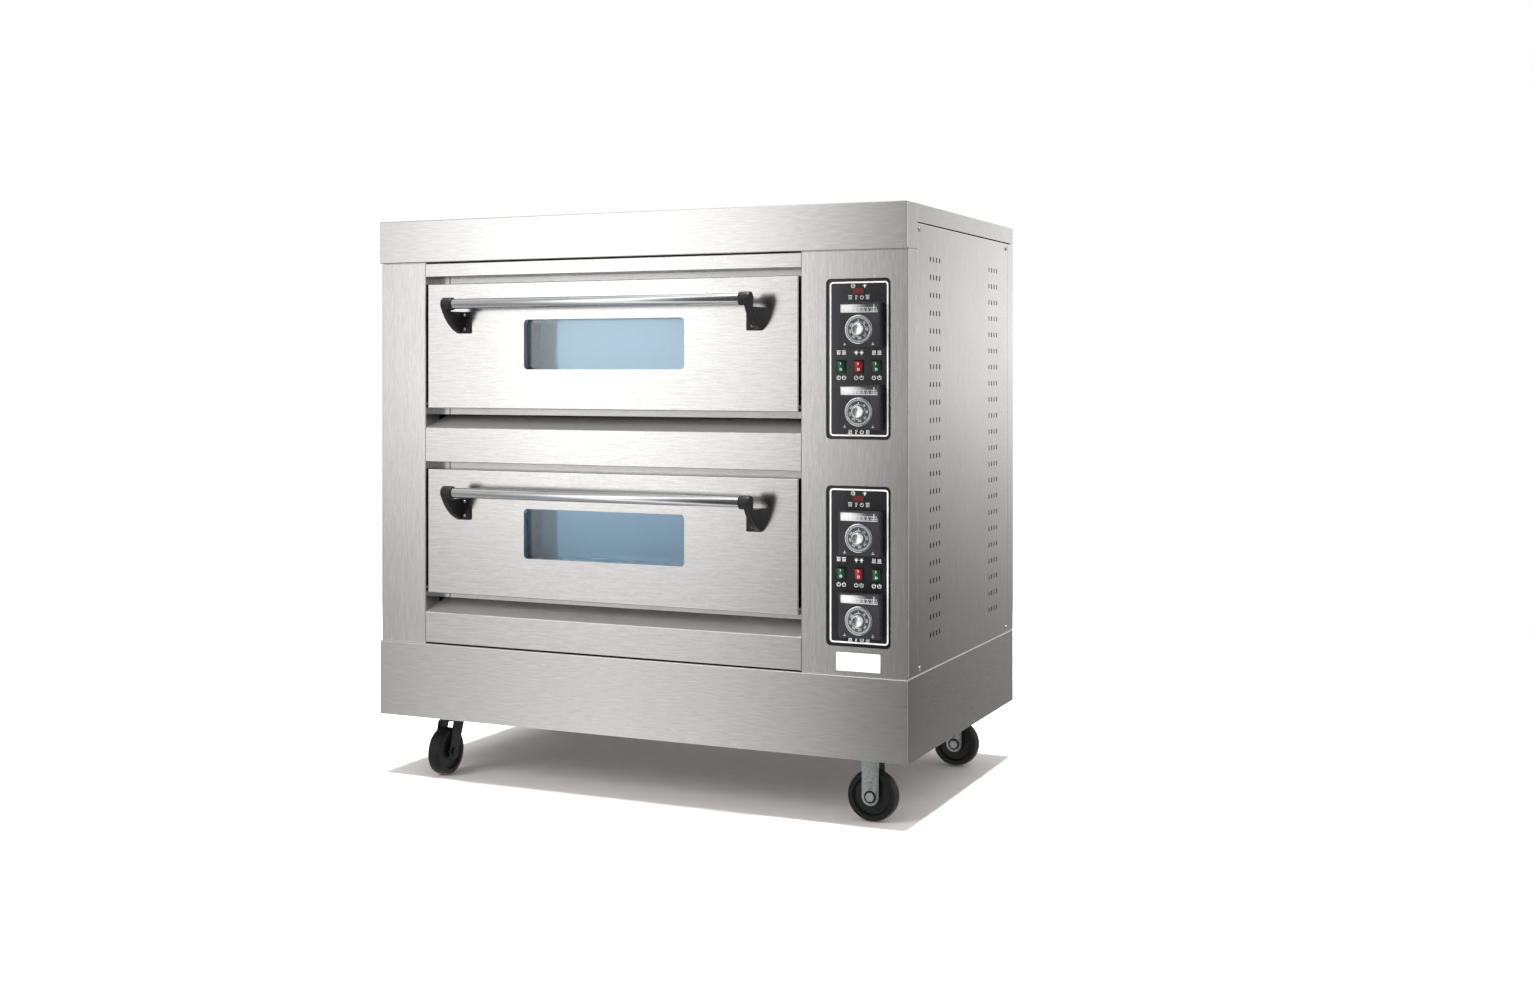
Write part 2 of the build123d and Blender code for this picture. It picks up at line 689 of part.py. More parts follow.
def heating_element(x, z):
    """A sheathed hairpin element with both legs through the rear wall."""
    front = LINER_Y + ELEMENT_FRONT_GAP
    bend = ELEMENT_LEG_PITCH / 2
    rear = INSULATION_END + ELEMENT_TERMINAL
    right = x + ELEMENT_LEG_PITCH
    leg = Line((x, rear, z), (x, front + bend, z))
    turn = ThreePointArc((x, front + bend, z), (x + bend, front, z), (right, front + bend, z))
    back = Line((right, front + bend, z), (right, rear, z))
    section = Plane(origin=(x, rear, z), z_dir=(0, -1, 0)) * Circle(ELEMENT_RADIUS)
    return sweep(section, path=leg + turn + back)


def temperature_probe(x, y, z):
    length = PROBE_REACH + SHEET + INSULATION_RIGHT + PROBE_TAIL
    return rod((x - PROBE_REACH, y, z), "+X", PROBE_RADIUS, length)


def chamber_lamp(x, y, z):
    """A round glass lens with its holder behind the wall."""
    lens = rod((x - CHAMBER_LAMP_REACH, y, z), "+X", CHAMBER_LAMP_RADIUS, CHAMBER_LAMP_REACH)
    lens = fillet(lens.edges().sort_by(Axis.X)[:1], CHAMBER_LAMP_REACH / 2)
    return lens + rod((x, y, z), "+X", CHAMBER_LAMP_BODY_RADIUS, CHAMBER_LAMP_BODY)


def electrics_partition():
    """The sheet between the chambers and the electrics, cleared for the lamps and probes."""
    x = (PARTITION_X, PARTITION_X + SHEET)
    y = (INSULATION_FRONT, BACK - REAR_RETURN)
    wall = block(x, y, (SKIRT_TOP, PANEL_TOP))
    for deck in DECKS:
        wall = wall - side_holes(deck, x[0] - SHEET, x[1] + SHEET)
    return wall


def contactors():
    """Contactors and a terminal block fixed to the partition."""
    x = PARTITION_X + SHEET
    y = BACK - CONTACTOR_INSET
    solids = []
    for i in range(CONTACTORS):
        z = SKIRT_TOP + (i + 1) * CONTACTOR_PITCH
        depth, width, height = CONTACTOR
        body = block((x, x + depth), around(y, width), around(z, height))
        rise, width, height = CONTACTOR_CROWN
        crown = block((x + depth, x + depth + rise), around(y, width), around(z, height))
        solids.append(body + crown)
    depth, width, height = TERMINAL_BLOCK
    z = around(SKIRT_TOP + TERMINAL_RISE, height)
    solids.append(block((x, x + depth), around(BACK - REAR_RETURN - width, width), z))
    return solids


def cable_gland():
    """A flanged gland in the rear panel, with a bore for the supply cable."""
    flange = rod((GLAND_X, BACK, GLAND_Z), "+Y", GLAND_FLANGE_RADIUS, GLAND_FLANGE)
    nose = rod((GLAND_X, BACK + GLAND_FLANGE, GLAND_Z), "+Y", GLAND_RADIUS, GLAND_PROUD - GLAND_FLANGE)
    nose = fillet(nose.edges().sort_by(Axis.Y)[-1:], SHEET)
    thread = rod((GLAND_X, BACK - GLAND_INSIDE, GLAND_Z), "+Y", GLAND_RADIUS, GLAND_INSIDE)
    length = GLAND_PROUD + GLAND_INSIDE + 2 * SHEET
    bore = rod((GLAND_X, BACK - GLAND_INSIDE - SHEET, GLAND_Z), "+Y", GLAND_BORE, length)
    return thread + flange + nose - bore


# ------------------------------------------------------------------ doors
def window_prism(deck, width, height, radius, y_front, y_back):
    z = DECKS[deck] + WINDOW_RISE + WINDOW_HEIGHT / 2
    return rounded_block(width, height, radius, WINDOW_MIDDLE, z, y_front, y_back)


def hinge_bosses(deck, radius, length):
    """Round bars inwards from both ends of the door, on the hinge axis."""
    z = DECKS[deck] + HINGE_LIFT
    left = rod((DOOR_LEFT, HINGE_Y, z), "+X", radius, length)
    right = rod((DOOR_RIGHT, HINGE_Y, z), "-X", radius, length)
    return left + right


def door_skin(deck):
    """The door's outer shell, with a returned window edge and a bearing at each hinge."""
    z = (DECKS[deck], DECKS[deck] + DOOR_HEIGHT)
    shell_back = DOOR_BACK - SHEET
    shell = folded((DOOR_LEFT, DOOR_RIGHT), (FACE, shell_back), z, "+Y")
    rim = window_prism(
        deck,
        WINDOW_WIDTH + 2 * SHEET,
        WINDOW_HEIGHT + 2 * SHEET,
        WINDOW_RADIUS + SHEET,
        FACE + SHEET / 2,
        FACE + WINDOW_RETURN,
    )
    hole = window_prism(
        deck, WINDOW_WIDTH, WINDOW_HEIGHT, WINDOW_RADIUS, FACE - SHEET, FACE + WINDOW_RETURN + SHEET
    )
    bosses = hinge_bosses(deck, HINGE_RADIUS + 2 * SHEET, HINGE_ENGAGEMENT + SHEET)
    bores = hinge_bosses(deck, HINGE_RADIUS + RUNNING_FIT, HINGE_ENGAGEMENT + 2 * SHEET)
    return shell + rim - hole + bosses - bores


def window_box(deck, y_front, y_back, grow):
    """The window's tunnel, outside of its wall, grown by a clearance."""
    side = 2 * (PANE_LIP + grow)
    return window_prism(
        deck, WINDOW_WIDTH + side, WINDOW_HEIGHT + side, WINDOW_RADIUS + side / 2, y_front, y_back
    )


def door_inner_panel(deck):
    """The door's back sheet, with a deep window box that holds the inner pane."""
    z = (DECKS[deck], DECKS[deck] + DOOR_HEIGHT)
    front = FACE + WINDOW_RETURN + PANE
    box_back = FACE + WINDOW_BOX_DEPTH
    sheet = block((DOOR_LEFT, DOOR_RIGHT), (DOOR_BACK - SHEET, DOOR_BACK), z)
    rear_edges = sheet.edges().group_by(Axis.Y)[-1]
    sheet = fillet(rear_edges, SHEET / 2)
    box = window_box(deck, front, box_back, 0)
    tunnel = window_prism(
        deck, WINDOW_WIDTH, WINDOW_HEIGHT, WINDOW_RADIUS, front - SHEET, box_back + SHEET
    )
    seat = window_prism(
        deck,
        WINDOW_WIDTH + PANE_LIP,
        WINDOW_HEIGHT + PANE_LIP,
        WINDOW_RADIUS + PANE_LIP / 2,
        box_back - SHEET - PANE,
        box_back - SHEET,
    )
    return sheet + box - tunnel - seat


def door_panes(deck):
    """The outer pane behind the skin's window edge, and the inner pane in the window box."""
    outer_front = FACE + WINDOW_RETURN
    outer = window_box(deck, outer_front, outer_front + PANE, 0)
    inner_back = FACE + WINDOW_BOX_DEPTH - SHEET
    inner = window_prism(
        deck,
        WINDOW_WIDTH + PANE_LIP,
        WINDOW_HEIGHT + PANE_LIP,
        WINDOW_RADIUS + PANE_LIP / 2,
        inner_back - PANE,
        inner_back,
    )
    return [outer, inner]


def door_insulation(deck):
    """The pad that fills the door round the window box."""
    pad = block(
        (DOOR_LEFT + SHEET, DOOR_RIGHT - SHEET),
        (FACE + SHEET, DOOR_BACK - SHEET),
        (DECKS[deck] + SHEET, DECKS[deck] + DOOR_HEIGHT - SHEET),
    )
    hole = window_box(deck, FACE, DOOR_BACK, LOOSE_FIT)
    bosses = hinge_bosses(deck, HINGE_RADIUS + 2 * SHEET + LOOSE_FIT, HINGE_ENGAGEMENT + 2 * SHEET)
    return pad - hole - bosses


def handle_centre(deck):
    """Y and Z of the handle tube's axis."""
    return FACE - HANDLE_STANDOFF, DECKS[deck] + DOOR_HEIGHT - HANDLE_DROP


def handle_bar(deck):
    y, z = handle_centre(deck)
    length = HANDLE_SPAN - 2 * SOCKET_CAP
    start = (DOOR_MIDDLE - length / 2, y, z)
    tube = rod(start, "+X", HANDLE_RADIUS, length)
    return tube - rod(start, "+X", HANDLE_RADIUS - HANDLE_WALL, length)


def left_handle_bracket(deck):
    """A socket for the tube on a curved web, with a foot screwed to the door."""
    y, z = handle_centre(deck)
    x = DOOR_MIDDLE - HANDLE_SPAN / 2
    foot_bottom = z - BRACKET_DROP
    foot_top = foot_bottom + BRACKET_FLANGE_HEIGHT
    start = (y - SOCKET_RADIUS, z)
    end = (FACE, foot_bottom)
    middle = ((start[0] + end[0]) / 2 - BRACKET_LEAN, (start[1] + end[1]) / 2 - BRACKET_BULGE)
    nose = y + BRACKET_NOSE
    outline = ThreePointArc(start, middle, end) + Polyline(
        end, (FACE, foot_top), (nose, foot_top), (nose, z), start
    )
    section = Plane(origin=(x, 0, 0), x_dir=(0, 1, 0), z_dir=(1, 0, 0))
    web = extrude(section * make_face(outline), BRACKET_WEB)
    socket = rod((x, y, z), "+X", SOCKET_RADIUS, SOCKET_LENGTH)
    socket = fillet(socket.edges().filter_by(GeomType.CIRCLE), SHEET)
    foot = rounded_block(
        BRACKET_FLANGE_WIDTH,
        BRACKET_FLANGE_HEIGHT,
        BRACKET_FOOT_RADIUS,
        x + BRACKET_FLANGE_WIDTH / 2,
        (foot_bottom + foot_top) / 2,
        FACE - BRACKET_FLANGE,
        FACE,
    )
    bore_start = (x + SOCKET_CAP, y, z)
    bore = rod(bore_start, "+X", HANDLE_RADIUS + RUNNING_FIT, SOCKET_LENGTH)
    return web + socket + foot - bore


def handle_brackets(deck):
    left = left_handle_bracket(deck)
    return [left, mirrored(left, DOOR_MIDDLE)]


def hinge_pins():
    """Headed pins through the columns' inner returns into the door's lower corners."""
    pins = []
    for bottom in DECKS.values():
        z = bottom + HINGE_LIFT
        inside = OPENING_LEFT - SHEET
        length = SHEET + DOOR_SIDE_GAP + HINGE_ENGAGEMENT
        pin = rod((inside, HINGE_Y, z), "+X", HINGE_RADIUS, length)
        pin = pin + rod((inside, HINGE_Y, z), "-X", HINGE_HEAD_RADIUS, HINGE_HEAD)
        pins += [pin, mirrored(pin, DOOR_MIDDLE)]
    return pins


# ------------------------------------------------------------------ controls
def control_plate(z):
    """The recessed plate, cut out for its controllers, switches and lamp."""
    back = PLATE_FACE + PLATE_THICKNESS
    lap = 2 * PLATE_LAP
    plate = rounded_block(
        PLATE_WIDTH + lap, PLATE_HEIGHT + lap, PLATE_RADIUS + PLATE_LAP, CONTROL_X, z, PLATE_FACE, back
    )
    through = (PLATE_FACE - SHEET, back + SHEET)
    for rise in DIAL_RISES:
        side = HOUSING_BODY + 2 * LOOSE_FIT
        plate = plate - block(around(HOUSING_X, side), through, around(z + rise, side))
    for x in rocker_xs():
        width, height = bezel_body()
        plate = plate - block(around(x, width), through, around(z + ROCKER_RISE, height))
    lamp_width = LAMP_WIDTH - 2 * LAMP_EDGE + 2 * LOOSE_FIT
    lamp_height = LAMP_HEIGHT - 2 * LAMP_EDGE + 2 * LOOSE_FIT
    lamp = block(around(CONTROL_X, lamp_width), through, around(z + LAMP_RISE, lamp_height))
    return plate - lamp


def rocker_xs():
    return [CONTROL_X + i * ROCKER_PITCH for i in (-1, 0, 1)]


def bezel_opening():
    """Width and height of the hole that a rocker swings in."""
    return ROCKER_WIDTH + 2 * LOOSE_FIT, ROCKER_HEIGHT + 2 * ROCKER_CLEARANCE


def bezel_body():
    """Width and height of a switch body where it passes through its plate."""
    width, height = bezel_opening()
    return width + 2 * BEZEL_WALL, height + 2 * BEZEL_WALL


def switch_bezel(x, z):
    """The frame and body round one rocker, with a bearing hole for each of its trunnions."""
    front = PLATE_FACE - BEZEL_PROUD
    flange = rounded_block(BEZEL_WIDTH, BEZEL_HEIGHT, BEZEL_RADIUS, x, z, front, PLATE_FACE)
    width, height = bezel_body()
    body = block(around(x, width), (PLATE_FACE, PLATE_FACE + BEZEL_DEPTH), around(z, height))
    width, height = bezel_opening()
    hole_y = (front - SHEET, PLATE_FACE + BEZEL_DEPTH - BEZEL_WALL)
    bearings = trunnions(x, z, RUNNING_FIT)
    return flange + body - block(around(x, width), hole_y, around(z, height)) - bearings


def trunnions(x, z, grow):
    """The round bar that a rocker tilts on, or with a clearance the holes for its two ends."""
    half = ROCKER_WIDTH / 2 + TRUNNION_REACH + grow
    return rod((x - half, PLATE_FACE, z), "+X", TRUNNION_RADIUS + grow, 2 * half)


def controller_housing(z):
    """A temperature controller: a front frame with a scale recess, and a body behind the plate."""
    front = PLATE_FACE - HOUSING_PROUD
    middle = z + HOUSING_LIFT
    frame = rounded_block(
        HOUSING_WIDTH, HOUSING_HEIGHT, HOUSING_RADIUS, HOUSING_X, middle, front, PLATE_FACE
    )
    body_y = (PLATE_FACE, PLATE_FACE + HOUSING_DEPTH)
    body = block(around(HOUSING_X, HOUSING_BODY), body_y, around(z, HOUSING_BODY))
    scale_y = (front - SHEET, front + SCALE_RECESS)
    scale = block(around(HOUSING_X, SCALE_WIDTH), scale_y, around(z + SCALE_RISE, SCALE_HEIGHT))
    radius = KNOB_SHAFT_RADIUS + RUNNING_FIT
    bore = rod((HOUSING_X, front - SHEET, z), "+Y", radius, KNOB_SHAFT + 2 * SHEET)
    return frame + body - scale - bore


def controller_dial(z):
    """A graduated disc, its knob and the shaft behind them."""
    back = PLATE_FACE - HOUSING_PROUD - DIAL_GAP
    disc = rod((HOUSING_X, back, z), "-Y", DIAL_RADIUS, DIAL_DISC)
    knob = rod((HOUSING_X, back - DIAL_DISC, z), "-Y", KNOB_RADIUS, KNOB_HEIGHT)
    knob = fillet(knob.edges().sort_by(Axis.Y)[:1], SHEET)
    shaft = rod((HOUSING_X, back, z), "+Y", KNOB_SHAFT_RADIUS, KNOB_SHAFT)
    return disc + knob + shaft


def rocker(x, z):
    """A rocker with a dished face on two trunnions, resting with its lower half pressed in."""
    half = ROCKER_HEIGHT / 2
    outline = Polyline(
        (-ROCKER_PROUD, half),
        (-ROCKER_PROUD + ROCKER_DISH, 0),
        (-ROCKER_PROUD, -half),
        (PLATE_THICKNESS, -half),
        (ROCKER_DEPTH, -ROCKER_WAIST),
        (ROCKER_DEPTH, ROCKER_WAIST),
        (PLATE_THICKNESS, half),
        close=True,
    )
    section = Plane(origin=(-ROCKER_WIDTH / 2, 0, 0), x_dir=(0, 1, 0), z_dir=(1, 0, 0))
    key = extrude(section * make_face(outline), ROCKER_WIDTH)
    return Pos(x, PLATE_FACE, z) * Rot(ROCKER_TILT, 0, 0) * key + trunnions(x, z, 0)


def pilot_lamp(z):
    lens = rounded_block(
        LAMP_WIDTH, LAMP_HEIGHT, LAMP_EDGE, CONTROL_X, z, PLATE_FACE - LAMP_PROUD, PLATE_FACE
    )
    lens = fillet(lens.faces().sort_by(Axis.Y)[0].edges(), LAMP_CROWN)
    y = (PLATE_FACE, PLATE_FACE + LAMP_DEPTH)
    stem_x = around(CONTROL_X, LAMP_WIDTH - 2 * LAMP_EDGE)
    return lens + block(stem_x, y, around(z, LAMP_HEIGHT - 2 * LAMP_EDGE))


# ------------------------------------------------------------------ castors
def castor_plate(x, y):
    z = (CASTOR_HEIGHT - CASTOR_PLATE, CASTOR_HEIGHT)
    plate = block(around(x, CASTOR_PLATE_LENGTH), around(y, CASTOR_PLATE_WIDTH), z)
    return fillet(plate.edges().filter_by(Axis.Z), 2 * CASTOR_PLATE)


def axle_bolt(x, y, axis):
    """A bolt and nut through the fork, along X or Y."""
    half = FORK_INSIDE / 2 + FORK_STEEL
    step = (half, 0) if axis == "X" else (0, half)
    start = (x - step[0], y - step[1], WHEEL_RADIUS)
    end = (x + step[0], y + step[1], WHEEL_RADIUS)
    shank = rod(start, "+" + axis, AXLE_RADIUS, 2 * half)
    head = rod(start, "-" + axis, AXLE_HEAD_RADIUS, AXLE_HEAD)
    return shank + head + rod(end, "+" + axis, AXLE_HEAD_RADIUS, AXLE_HEAD)


def rigid_fork(x, y):
    """Two straight legs with rounded ends under a flat plate; the axle runs along Y."""
    fork = castor_plate(x, y)
    top = CASTOR_HEIGHT - CASTOR_PLATE
    for side in (-1, 1):
        inner = y + side * FORK_INSIDE / 2
        outer = inner + side * FORK_STEEL
        span = (min(inner, outer), max(inner, outer))
        leg = block(around(x, FORK_LEG), span, (WHEEL_RADIUS, top))
        foot = rod((x, span[0], WHEEL_RADIUS), "+Y", FORK_LEG / 2, FORK_STEEL)
        fork = fork + leg + foot
    start = (x, y - FORK_INSIDE, WHEEL_RADIUS)
    return fork - rod(start, "+Y", AXLE_RADIUS + RUNNING_FIT, 2 * FORK_INSIDE)


def swivel_plate(x, y):
    """The fixed top of a swivelling castor: plate, ball race and riveted king pin."""
    race_top = CASTOR_HEIGHT - CASTOR_PLATE
    race_bottom = race_top - RACE_HEIGHT
    head_top = race_bottom - RACE_GAP - FORK_STEEL - RACE_GAP
    pin = rod((x, y, race_bottom), "-Z", KINGPIN_RADIUS, race_bottom - head_top)
    head = rod((x, y, head_top), "-Z", KINGPIN_HEAD_RADIUS, KINGPIN_HEAD)
    race = rod((x, y, race_top), "-Z", RACE_RADIUS, RACE_HEIGHT)
    return castor_plate(x, y) + race + pin + head


def swivel_fork(x, y):
    """A crown under the ball race and two legs that lean forward to the axle along X."""
    crown_top = CASTOR_HEIGHT - CASTOR_PLATE - RACE_HEIGHT - RACE_GAP
    crown_bottom = crown_top - FORK_STEEL
    crown = rod((x, y, crown_top), "-Z", RACE_RADIUS, FORK_STEEL)
    axle_y = y - TRAIL
    foot = FORK_LEG / 2
    outline = Polyline(
        (y - FORK_SHOULDER, crown_bottom),
        (y + FORK_SHOULDER, crown_bottom),
        (axle_y + foot, WHEEL_RADIUS),
        (axle_y - foot, WHEEL_RADIUS),
        close=True,
    )
    fork = crown
    for side in (-1, 1):
        left = x + side * (FORK_INSIDE / 2 + FORK_STEEL / 2) - FORK_STEEL / 2
        section = Plane(origin=(left, 0, 0), x_dir=(0, 1, 0), z_dir=(1, 0, 0))
        leg = extrude(section * make_face(outline), FORK_STEEL)
        round_end = rod((left, axle_y, WHEEL_RADIUS), "+X", foot, FORK_STEEL)
        shoulder = block((left, left + FORK_STEEL), around(y, RACE_RADIUS), (crown_bottom, crown_top))
        fork = fork + leg + round_end + shoulder
    fork = fork - rod((x, y, crown_top + SHEET), "-Z", KINGPIN_RADIUS + RUNNING_FIT, 3 * FORK_STEEL)
    start = (x - FORK_INSIDE, axle_y, WHEEL_RADIUS)
    return fork - rod(start, "+X", AXLE_RADIUS + RUNNING_FIT, 2 * FORK_INSIDE)


def castor_wheel(x, y, axis):
    """A solid tyre on a dished hub, turning about X or Y."""
    half = WHEEL_WIDTH / 2
    hub = HUB_WIDTH / 2
    bore = AXLE_RADIUS + RUNNING_FIT
    dish = half - WHEEL_DISH
    outline = Polyline(
        (bore, -hub),
        (HUB_RADIUS, -hub),
        (HUB_RADIUS, -dish),
        (WHEEL_DISH_RADIUS, -dish),
        (WHEEL_DISH_RADIUS, -half),
        (WHEEL_RADIUS - WHEEL_CROWN, -half),
    )
    outline = outline + ThreePointArc(
        (WHEEL_RADIUS - WHEEL_CROWN, -half), (WHEEL_RADIUS, 0), (WHEEL_RADIUS - WHEEL_CROWN, half)
    )
    outline = outline + Polyline(
        (WHEEL_RADIUS - WHEEL_CROWN, half),
        (WHEEL_DISH_RADIUS, half),
        (WHEEL_DISH_RADIUS, dish),
        (HUB_RADIUS, dish),
        (HUB_RADIUS, hub),
        (bore, hub),
        (bore, -hub),
    )
    wheel = revolve(Plane.XZ * make_face(outline), Axis.Z)
    turn = Rot(0, 90, 0) if axis == "X" else Rot(90, 0, 0)
    return Pos(x, y, WHEEL_RADIUS) * turn * wheel


# ------------------------------------------------------------------ the whole oven
def write_body():
    write("chassis", *chassis())
    write("front_skirt", front_skirt())
    write("rear_skirt", rear_skirt())
    write("front_fascia", front_fascia())
    write("top_cover", top_cover())
    write("left_column", left_column())
    write("control_column", control_column())
    write("right_corner_post", right_corner_post())
    write("left_side_panel", left_side_panel())
    write("right_side_panel", right_side_panel())
    write("rear_panel", rear_panel())
    write("top_rail", top_rail())
    write("middle_rail", middle_rail())
    write("bottom_rail", bottom_rail())
    write("panel_screws", *panel_screws())
    write("cable_gland", cable_gland())
    write("electrics_partition", electrics_partition())
    write("contactors", *contactors())


def write_chambers():
    decks = list(DECKS)
    write("chamber_frames", *[piece for deck in decks for piece in chamber_frame(deck)])
    write("chamber_liners", *[chamber_liner(deck) for deck in decks])
    write("chamber_insulation", *[chamber_insulation(deck) for deck in decks])
    write("hearth_plates", *[hearth_plate(deck) for deck in decks])
    elements = [heating_element(x, z) for deck in decks for x, z in element_runs(deck)]
    write("heating_elements", *elements)
    fittings = [side_fittings(deck) for deck in decks]
    probes = [temperature_probe(x, y, z) for pair in fittings for x, y, z, _ in pair[:2]]
    write("temperature_probes", *probes)
    write("chamber_lamps", *[chamber_lamp(*pair[2][:3]) for pair in fittings])


def write_doors():
    for deck in DECKS:
        write(deck + "_door_skin", door_skin(deck))
        write(deck + "_door_inner_panel", door_inner_panel(deck))
        write(deck + "_door_panes", *door_panes(deck))
        write(deck + "_door_insulation", door_insulation(deck))
        write(deck + "_handle_bar", handle_bar(deck))
        write(deck + "_handle_brackets", *handle_brackets(deck))
    write("door_hinge_pins", *hinge_pins())


def write_controls():
    centres = CONTROL_CENTRES
    write("control_plates", *[control_plate(z) for z in centres.values()])
    dials = {
        f"{deck}_{level}_heat_dial": z + rise
        for deck, z in centres.items()
        for level, rise in zip(("top", "bottom"), DIAL_RISES)
    }
    write("controller_housings", *[controller_housing(z) for z in dials.values()])
    for node, z in dials.items():
        write(node, controller_dial(z))
    write("pilot_lamps", *[pilot_lamp(z + LAMP_RISE) for z in centres.values()])
    for deck, z in centres.items():
        for use, x in zip(("top_heat", "lamp", "bottom_heat"), rocker_xs()):
            write(f"{deck}_{use}_rocker", rocker(x, z + ROCKER_RISE))
    bezels = [switch_bezel(x, z + ROCKER_RISE) for z in centres.values() for x in rocker_xs()]
    write("switch_bezels", *bezels)


def write_castors():
    places = castor_places()
    rigid = places[:2]
    forks = [part for x, y in rigid for part in (rigid_fork(x, y), axle_bolt(x, y, "Y"))]
    write("rigid_castor_forks", *forks)
    write("swivel_castor_plates", *[swivel_plate(x, y) for x, y in places[2:]])
    for name, (x, y) in zip(("front_right", "rear_right"), rigid):
        write(name + "_wheel", castor_wheel(x, y, "Y"))
    for name, (x, y) in zip(("front_left", "rear_left"), places[2:]):
        axle_y = y - TRAIL
        write(name + "_castor_fork", swivel_fork(x, y), axle_bolt(x, axle_y, "X"))
        write(name + "_wheel", castor_wheel(x, axle_y, "X"))


os.makedirs("parts", exist_ok=True)
write_body()
write_chambers()
write_doors()
write_controls()
write_castors()
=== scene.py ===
"""Looks of a two-deck bakery oven on castors, built round its CAD parts. Metres, +Z up, front to -Y."""

import json
import math

import bmesh
import bpy
from mathutils import Matrix, Vector

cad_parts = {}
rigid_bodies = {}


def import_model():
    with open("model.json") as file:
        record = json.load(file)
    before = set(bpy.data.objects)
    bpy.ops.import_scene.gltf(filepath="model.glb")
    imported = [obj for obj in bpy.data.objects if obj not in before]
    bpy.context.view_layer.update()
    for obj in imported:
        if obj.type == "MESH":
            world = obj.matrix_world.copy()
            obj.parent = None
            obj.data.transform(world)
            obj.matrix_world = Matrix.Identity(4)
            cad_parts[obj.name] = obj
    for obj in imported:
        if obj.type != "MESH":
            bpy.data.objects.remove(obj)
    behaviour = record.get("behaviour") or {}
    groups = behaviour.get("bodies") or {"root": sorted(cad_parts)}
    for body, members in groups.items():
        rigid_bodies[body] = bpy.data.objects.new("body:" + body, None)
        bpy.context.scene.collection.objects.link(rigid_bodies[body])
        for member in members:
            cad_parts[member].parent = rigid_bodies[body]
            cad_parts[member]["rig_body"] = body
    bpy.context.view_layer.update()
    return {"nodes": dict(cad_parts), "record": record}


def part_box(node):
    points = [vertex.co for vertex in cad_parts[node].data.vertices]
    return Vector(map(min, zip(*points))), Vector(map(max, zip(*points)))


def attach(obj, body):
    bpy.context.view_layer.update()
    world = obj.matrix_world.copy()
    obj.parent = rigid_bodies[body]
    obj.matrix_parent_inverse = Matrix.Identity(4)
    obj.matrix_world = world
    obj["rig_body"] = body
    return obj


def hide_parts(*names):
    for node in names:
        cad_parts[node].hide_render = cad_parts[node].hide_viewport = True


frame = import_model()

MM = 0.001
DECKS = ("lower", "upper")
DIALS = ("lower_top", "lower_bottom", "upper_top", "upper_bottom")
SHARP = math.radians(32)
TONE_START, TONE_END = 0.3, 0.7
BUMP_STRENGTH = 0.5


# ---------------------------------------------------------------- colours and nodes
def colour(code, alpha=1.0):
    """An sRGB hex colour as linear RGBA."""
    parts = [int(code[i : i + 2], 16) / 255 for i in (1, 3, 5)]
    linear = [p / 12.92 if p <= 0.04045 else ((p + 0.055) / 1.055) ** 2.4 for p in parts]
    return (*linear, alpha)


def add(tree, kind, inputs=None, stops=(), **settings):
    """Adds a node. Each input takes a value, or the output socket of another node.

    A colour ramp takes its stops as pairs of place and colour."""
    node = tree.nodes.new(kind)
    for name, value in settings.items():
        setattr(node, name, value)
    for key, value in (inputs or {}).items():
        if isinstance(value, bpy.types.NodeSocket):
            tree.links.new(value, node.inputs[key])
        else:
            node.inputs[key].default_value = value
    while stops and len(node.color_ramp.elements) < len(stops):
        node.color_ramp.elements.new(0.5)
    for index, (place, tint) in enumerate(stops):
        node.color_ramp.elements[index].position = place
        node.color_ramp.elements[index].color = tint
    return node


def new_material(name):
    """An empty material and its node tree."""
    made = bpy.data.materials.new(name)
    made.use_nodes = True
    made.node_tree.nodes.clear()
    return made, made.node_tree


def finish_material(tree, shader):
    add(tree, "ShaderNodeOutputMaterial", {"Surface": shader.outputs[0]})


def object_pattern(tree, size_mm, turn=(0, 0, 0)):
    """Object coordinates scaled so that one unit is size_mm along each axis."""
    place = add(tree, "ShaderNodeTexCoord").outputs["Object"]
    scale = [1000 / size for size in size_mm]
    return add(tree, "ShaderNodeMapping", {"Vector": place, "Rotation": turn, "Scale": scale}).outputs[0]


def tones(dark, light):
    """Ramp stops for two colours that meet softly over the middle of a noise."""
    return ((TONE_START, colour(dark)), (TONE_END, colour(light)))


# ---------------------------------------------------------------- materials
# Hairlines in mm, across and along the grain, and how metallic a mill-finish top face stays.
GRAIN = 2.2
STREAK = 34.0
CLOUD = 260
MATT_METALLIC = 0.3


